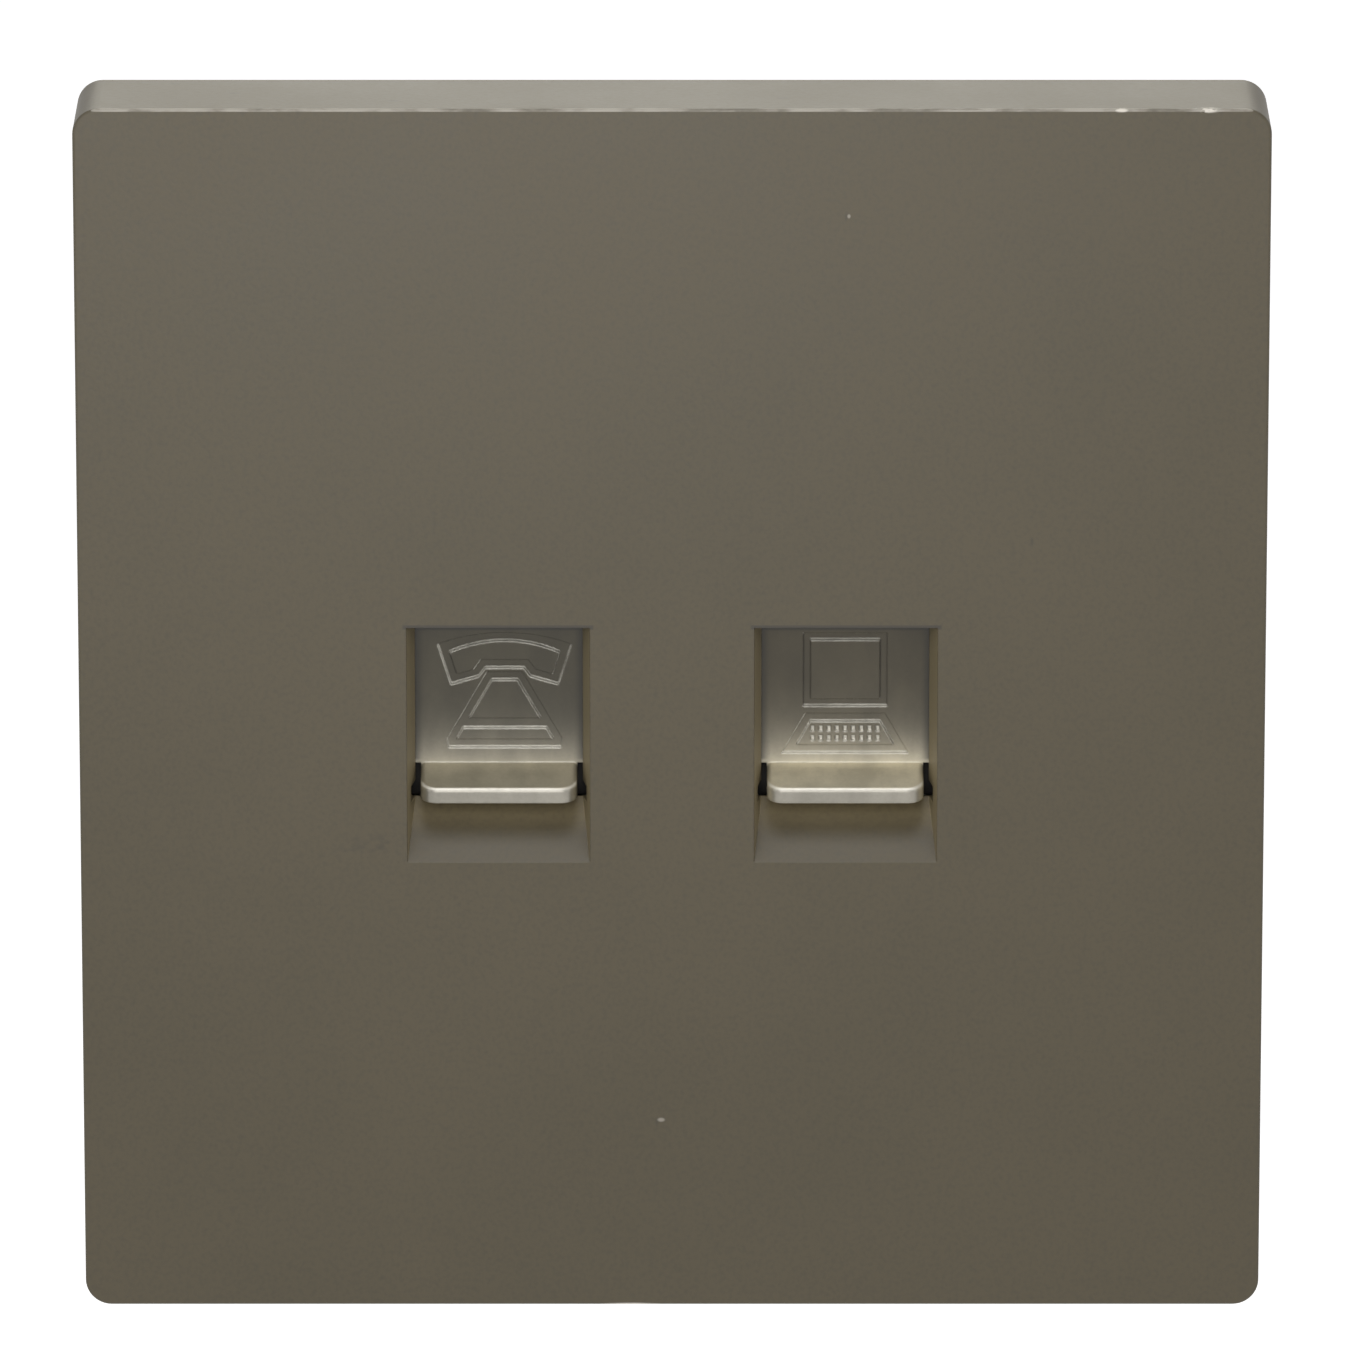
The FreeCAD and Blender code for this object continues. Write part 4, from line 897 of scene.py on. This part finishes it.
@dataclass
class ShutterSpring(RingedPieces):
    """The round wire spring over a shutter, wound in the place of its plain coil."""

    turns: int = 9
    closed_turns: int = 1
    wire: float = 0.14
    coil: float = 1.2
    travel: float = 10.4
    room: float = 0.05
    steps: int = 20
    sides: int = 8
    steel: Colour = (0.56, 0.55, 0.52)

    def build(self) -> None:
        """Winds the spring."""
        node = f"{self.half.prefix}_shutter_spring"
        low, high = (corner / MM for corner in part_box(node))
        length = high.z - low.z
        foot = Vector((self.half.value, (low.y + high.y) / 2, low.z + self.wire))
        wound = bmesh.new()
        rings = [
            self._section(wound, step / self.steps, length - 2 * self.wire, foot)
            for step in range(self.turns * self.steps + 1)
        ]
        self.skin(wound, rings)
        steel = Metal(f"{self.half.prefix}_spring_steel", self.steel, 0.3).mixed()
        spring = self.add(wound, "wound_spring", steel)
        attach(spring, "socket")
        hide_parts(node)
        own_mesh(spring)

    def _section(
        self, wound: bmesh.types.BMesh, turn: float, reach: float, foot: Vector
    ) -> List[bmesh.types.BMVert]:
        """Adds one round section of the wire.

        Args:
            wound: The mesh in the making.
            turn: How many turns up the coil the section is.
            reach: The height of the wire's middle line, in millimetres.
            foot: The foot of the coil's axis, in millimetres.

        Returns:
            The section's points in order.
        """
        closed_pitch = self.wire * 2.1
        open_turns = self.turns - 2 * self.closed_turns
        open_pitch = (reach - 2 * self.closed_turns * closed_pitch) / open_turns
        opened = min(max(turn - self.closed_turns, 0.0), float(open_turns))
        height = (turn - opened) * closed_pitch + opened * open_pitch
        pitch = open_pitch if 0.0 < opened < open_turns else closed_pitch
        angle = 2 * math.pi * turn
        outward = Vector((math.cos(angle), math.sin(angle), 0.0))
        slope = pitch / (2 * math.pi * self.coil)
        upward = outward.cross(Vector((-outward.y, outward.x, slope)).normalized())
        centre = foot + outward * self.coil + Vector((0.0, 0.0, height))
        return self.add_ring(wound, centre, outward * self.wire, upward * self.wire, self.sides)


@dataclass
class Shutter(Dressing):
    """One sliding shutter, with the picture pressed into its face."""

    half: Half = Half.TELEPHONE

    def build(self) -> None:
        """Dresses the shutter, and winds the spring over it."""
        self.dress(f"{self.half.prefix}_shutter", ShutterLacquer.of(self.half).mixed())
        ShutterSpring(self.half).build()


@dataclass
class Carcass(Dressing):
    """The white mounting frame, and the grey guides and housings that it holds."""

    def build(self) -> None:
        """Dresses the frame, guides and housings."""
        white = MouldedPlastic("white_plastic", (0.72, 0.71, 0.67)).mixed()
        self.dress("mounting_frame", white)
        grey = MouldedPlastic("grey_plastic", (0.42, 0.42, 0.4)).mixed()
        for half in Half:
            self.dress(f"{half.prefix}_shutter_guide", grey)
            self.dress(f"{half.prefix}_housing", grey)


@dataclass
class SolderJoints(RingedPieces):
    """The solder cones about the contact tails, on the board's back."""

    tails: Sequence[float]
    board_back: float = 10.6
    sunk: float = 0.02
    tail_height: float = 3.875
    radius: float = 0.42
    tip_share: float = 0.35
    hollow: float = 1.7
    reach: float = 0.62
    steps: int = 5
    sides: int = 16
    tin: Colour = (0.62, 0.62, 0.6)

    def build(self) -> None:
        """Models every joint of one board as one piece."""
        solder = bmesh.new()
        for tail in self.tails:
            shares = [step / self.steps for step in range(self.steps + 1)]
            self.skin(solder, [self._collar(solder, tail, share) for share in shares])
        tin = Metal(f"{self.half.prefix}_solder", self.tin, 0.24, (1.0, 1.0, 1.0)).mixed()
        joints = self.add(solder, "solder_joints", tin)
        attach(joints, "socket")

    def _collar(
        self, solder: bmesh.types.BMesh, tail: float, share: float
    ) -> List[bmesh.types.BMVert]:
        """Adds one ring of a hollow-sided cone.

        Args:
            solder: The mesh in the making.
            tail: The contact tail's place across the board, in millimetres.
            share: How far the ring is from the cone's foot, at 0, to its tip, at 1.

        Returns:
            The ring's points in order.
        """
        radius = self.tip_share + (1.0 - self.tip_share) * (1.0 - share) ** self.hollow
        radius *= self.radius
        depth = self.board_back - self.sunk + self.reach * share
        centre = Vector((tail, depth, self.tail_height))
        sideways, upward = Vector((radius, 0.0, 0.0)), Vector((0.0, 0.0, radius))
        return self.add_ring(solder, centre, sideways, upward, self.sides)


@dataclass
class Jack(Dressing):
    """One jack: its shell, its contacts and its circuit board."""

    half: Half = Half.TELEPHONE
    pitch: float = 1.02
    black: Colour = (0.014, 0.012, 0.01)
    gold: Colour = (0.83, 0.6, 0.26)

    def build(self) -> None:
        """Dresses the jack's pieces and solders its contacts."""
        prefix = self.half.prefix
        black = MouldedPlastic(f"{prefix}_black_plastic", self.black, 0.5, 0.2).mixed()
        gold = Metal(f"{prefix}_contact_gold", self.gold, 0.24).mixed()
        count = {Half.TELEPHONE: 4, Half.COMPUTER: 8}[self.half]
        first = self.half.value - self.pitch * (count - 1) / 2
        board = BoardLaminate(f"{prefix}_board_laminate", first, self.pitch).mixed()
        self.dress(f"{prefix}_jack", black)
        self.dress(f"{prefix}_contact_carrier", black)
        self.dress(f"{prefix}_contacts", gold)
        self.dress(f"{prefix}_circuit_board", board)
        SolderJoints(self.half, [first + self.pitch * tail for tail in range(count)]).build()


@dataclass
class TelephoneTerminals(Dressing):
    """The telephone line's screw terminals."""

    def build(self) -> None:
        """Dresses the block, clamp plates and screws."""
        black = MouldedPlastic("terminal_black", (0.022, 0.022, 0.023), 0.45).mixed()
        zinc = Metal("terminal_zinc", (0.66, 0.64, 0.58), 0.3).mixed()
        self.dress("telephone_terminal_block", black)
        self.dress("telephone_clamp_plates", zinc)
        self.dress("telephone_terminal_screws", zinc)


@dataclass
class ComputerTerminals(Dressing):
    """The computer line's wire block, its blades and its cap."""

    def build(self) -> None:
        """Dresses the block, blades and cap."""
        white = MouldedPlastic("wire_block_white", (0.7, 0.69, 0.66), 0.45).mixed()
        gold = Metal("blade_metal", (0.75, 0.66, 0.5), 0.26).mixed()
        self.dress("computer_wire_block", white)
        self.dress("computer_wire_cap", white)
        self.dress("computer_blades", gold)


@dataclass(frozen=True)
class Lamp:
    """One soft lamp."""

    name: str
    place: Point
    side: float
    power: float
    colour: Colour = (1.0, 1.0, 1.0)

    def hang(self) -> None:
        """Hangs the lamp, turned to the socket."""
        light = bpy.data.lights.new(self.name, "AREA")
        light.shape = "DISK"
        light.size = self.side
        light.energy = self.power
        light.color = self.colour
        lamp = bpy.data.objects.new(self.name, light)
        lamp.location = self.place
        lamp.rotation_mode = "QUATERNION"
        lamp.rotation_quaternion = (-Vector(self.place)).to_track_quat("-Z", "Y")
        bpy.context.scene.collection.objects.link(lamp)


@dataclass
class Studio:
    """The pale floor, the soft lamps and the camera."""

    floor_height: float = -0.3
    floor_side: float = 8.0
    floor_colour: Colour = (0.86, 0.86, 0.85)
    floor_rough: float = 0.9
    sky: float = 0.32
    horizon: float = 0.1
    glow: float = 0.85
    distance: float = 1.0
    elevation: float = 15.5
    azimuth: float = 0.0
    lens: float = 368.4
    sensor: float = 36.0
    aim: Point = (0.00014, -0.0096, 0.0)
    lift: float = 0.0029
    clip: Span = (0.05, 20.0)
    horizon_span: Span = (-0.2, 1.0)
    lamps: Sequence[Lamp] = (
        Lamp("key_lamp", (-0.02, -0.2, 0.06), 0.13, 0.205),
        Lamp("top_lamp", (0.0, -0.3, 0.8), 0.5, 2.0),
        Lamp("left_lamp", (-0.85, -0.42, 0.22), 0.4, 1.5),
        Lamp("right_lamp", (0.85, -0.42, 0.22), 0.4, 1.5),
        Lamp("back_lamp", (0.0, 0.5, 0.4), 0.5, 1.4, (1.0, 0.97, 0.84)),
    )

    def build(self) -> None:
        """Sets up the whole studio."""
        self._lay_floor()
        self._light_sky()
        for lamp in self.lamps:
            lamp.hang()
        self._place_camera()
        bpy.context.scene.view_settings.view_transform = "Standard"

    def _lay_floor(self) -> None:
        """Lays a pale floor well under the socket."""
        half = self.floor_side / 2
        corners = [(-half, -half), (half, -half), (half, half), (-half, half)]
        mesh = bpy.data.meshes.new("studio_floor")
        mesh.from_pydata([(x, y, self.floor_height) for x, y in corners], [], [(0, 1, 2, 3)])
        floor = bpy.data.objects.new("studio_floor", mesh)
        bpy.context.scene.collection.objects.link(floor)
        recipe = Recipe.named("pale_floor")
        glow = recipe.blend(recipe.seen(), (0.0, 0.0, 0.0), (self.glow, self.glow, self.glow))
        mesh.materials.append(
            recipe.surface(
                base_color=self.floor_colour,
                roughness=self.floor_rough,
                emission_color=glow,
                emission_strength=1.0,
            )
        )

    def _light_sky(self) -> None:
        """Makes the world white to the camera and to gloss, and a plain soft light to all else."""
        world = bpy.data.worlds.new("soft_sky")
        bpy.context.scene.world = world
        recipe = Recipe(world)
        towards = recipe.node("ShaderNodeTexCoord")
        _, _, up = recipe.split(Wire(recipe, towards.outputs["Generated"]))
        soft = up.rise(*self.horizon_span) * (self.sky - self.horizon) + self.horizon
        seen = recipe.seen()
        strength = soft * (1.0 - seen) + seen
        sky = recipe.node("ShaderNodeBackground", {}, {"Strength": strength})
        light = Wire(recipe, sky.outputs["Background"])
        recipe.node("ShaderNodeOutputWorld", {}, {"Surface": light})

    def _place_camera(self) -> None:
        """Puts the camera where the photograph was taken from."""
        turn, rise = math.radians(self.azimuth), math.radians(self.elevation)
        level = Vector((math.sin(turn), -math.cos(turn), 0.0))
        back = level * math.cos(rise) + Vector((0.0, 0.0, math.sin(rise)))
        upwards = Vector((0.0, math.sin(rise), math.cos(rise)))
        target = Vector(self.aim) + upwards * self.lift
        data = bpy.data.cameras.new("camera")
        data.sensor_width = self.sensor
        data.lens = self.lens
        data.clip_start, data.clip_end = self.clip
        camera = bpy.data.objects.new("camera", data)
        camera.location = target + back * self.distance
        camera.rotation_mode = "QUATERNION"
        camera.rotation_quaternion = (-back).to_track_quat("-Z", "Y")
        bpy.context.scene.collection.objects.link(camera)
        bpy.context.scene.camera = camera


def corners(bounds: Tuple[Vector, Vector]) -> List[List[float]]:
    """A box's lowest and highest corners as plain numbers."""
    return [list(corner) for corner in bounds]


def main() -> None:
    """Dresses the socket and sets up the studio."""
    logging.basicConfig(level=logging.INFO, format="%(name)s: %(message)s")
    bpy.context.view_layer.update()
    CoverPlate().build()
    for half in Half:
        Shutter(half=half).build()
        Jack(half=half).build()
    Carcass().build()
    TelephoneTerminals().build()
    ComputerTerminals().build()
    Studio().build()


if __name__ == "__main__":
    main()
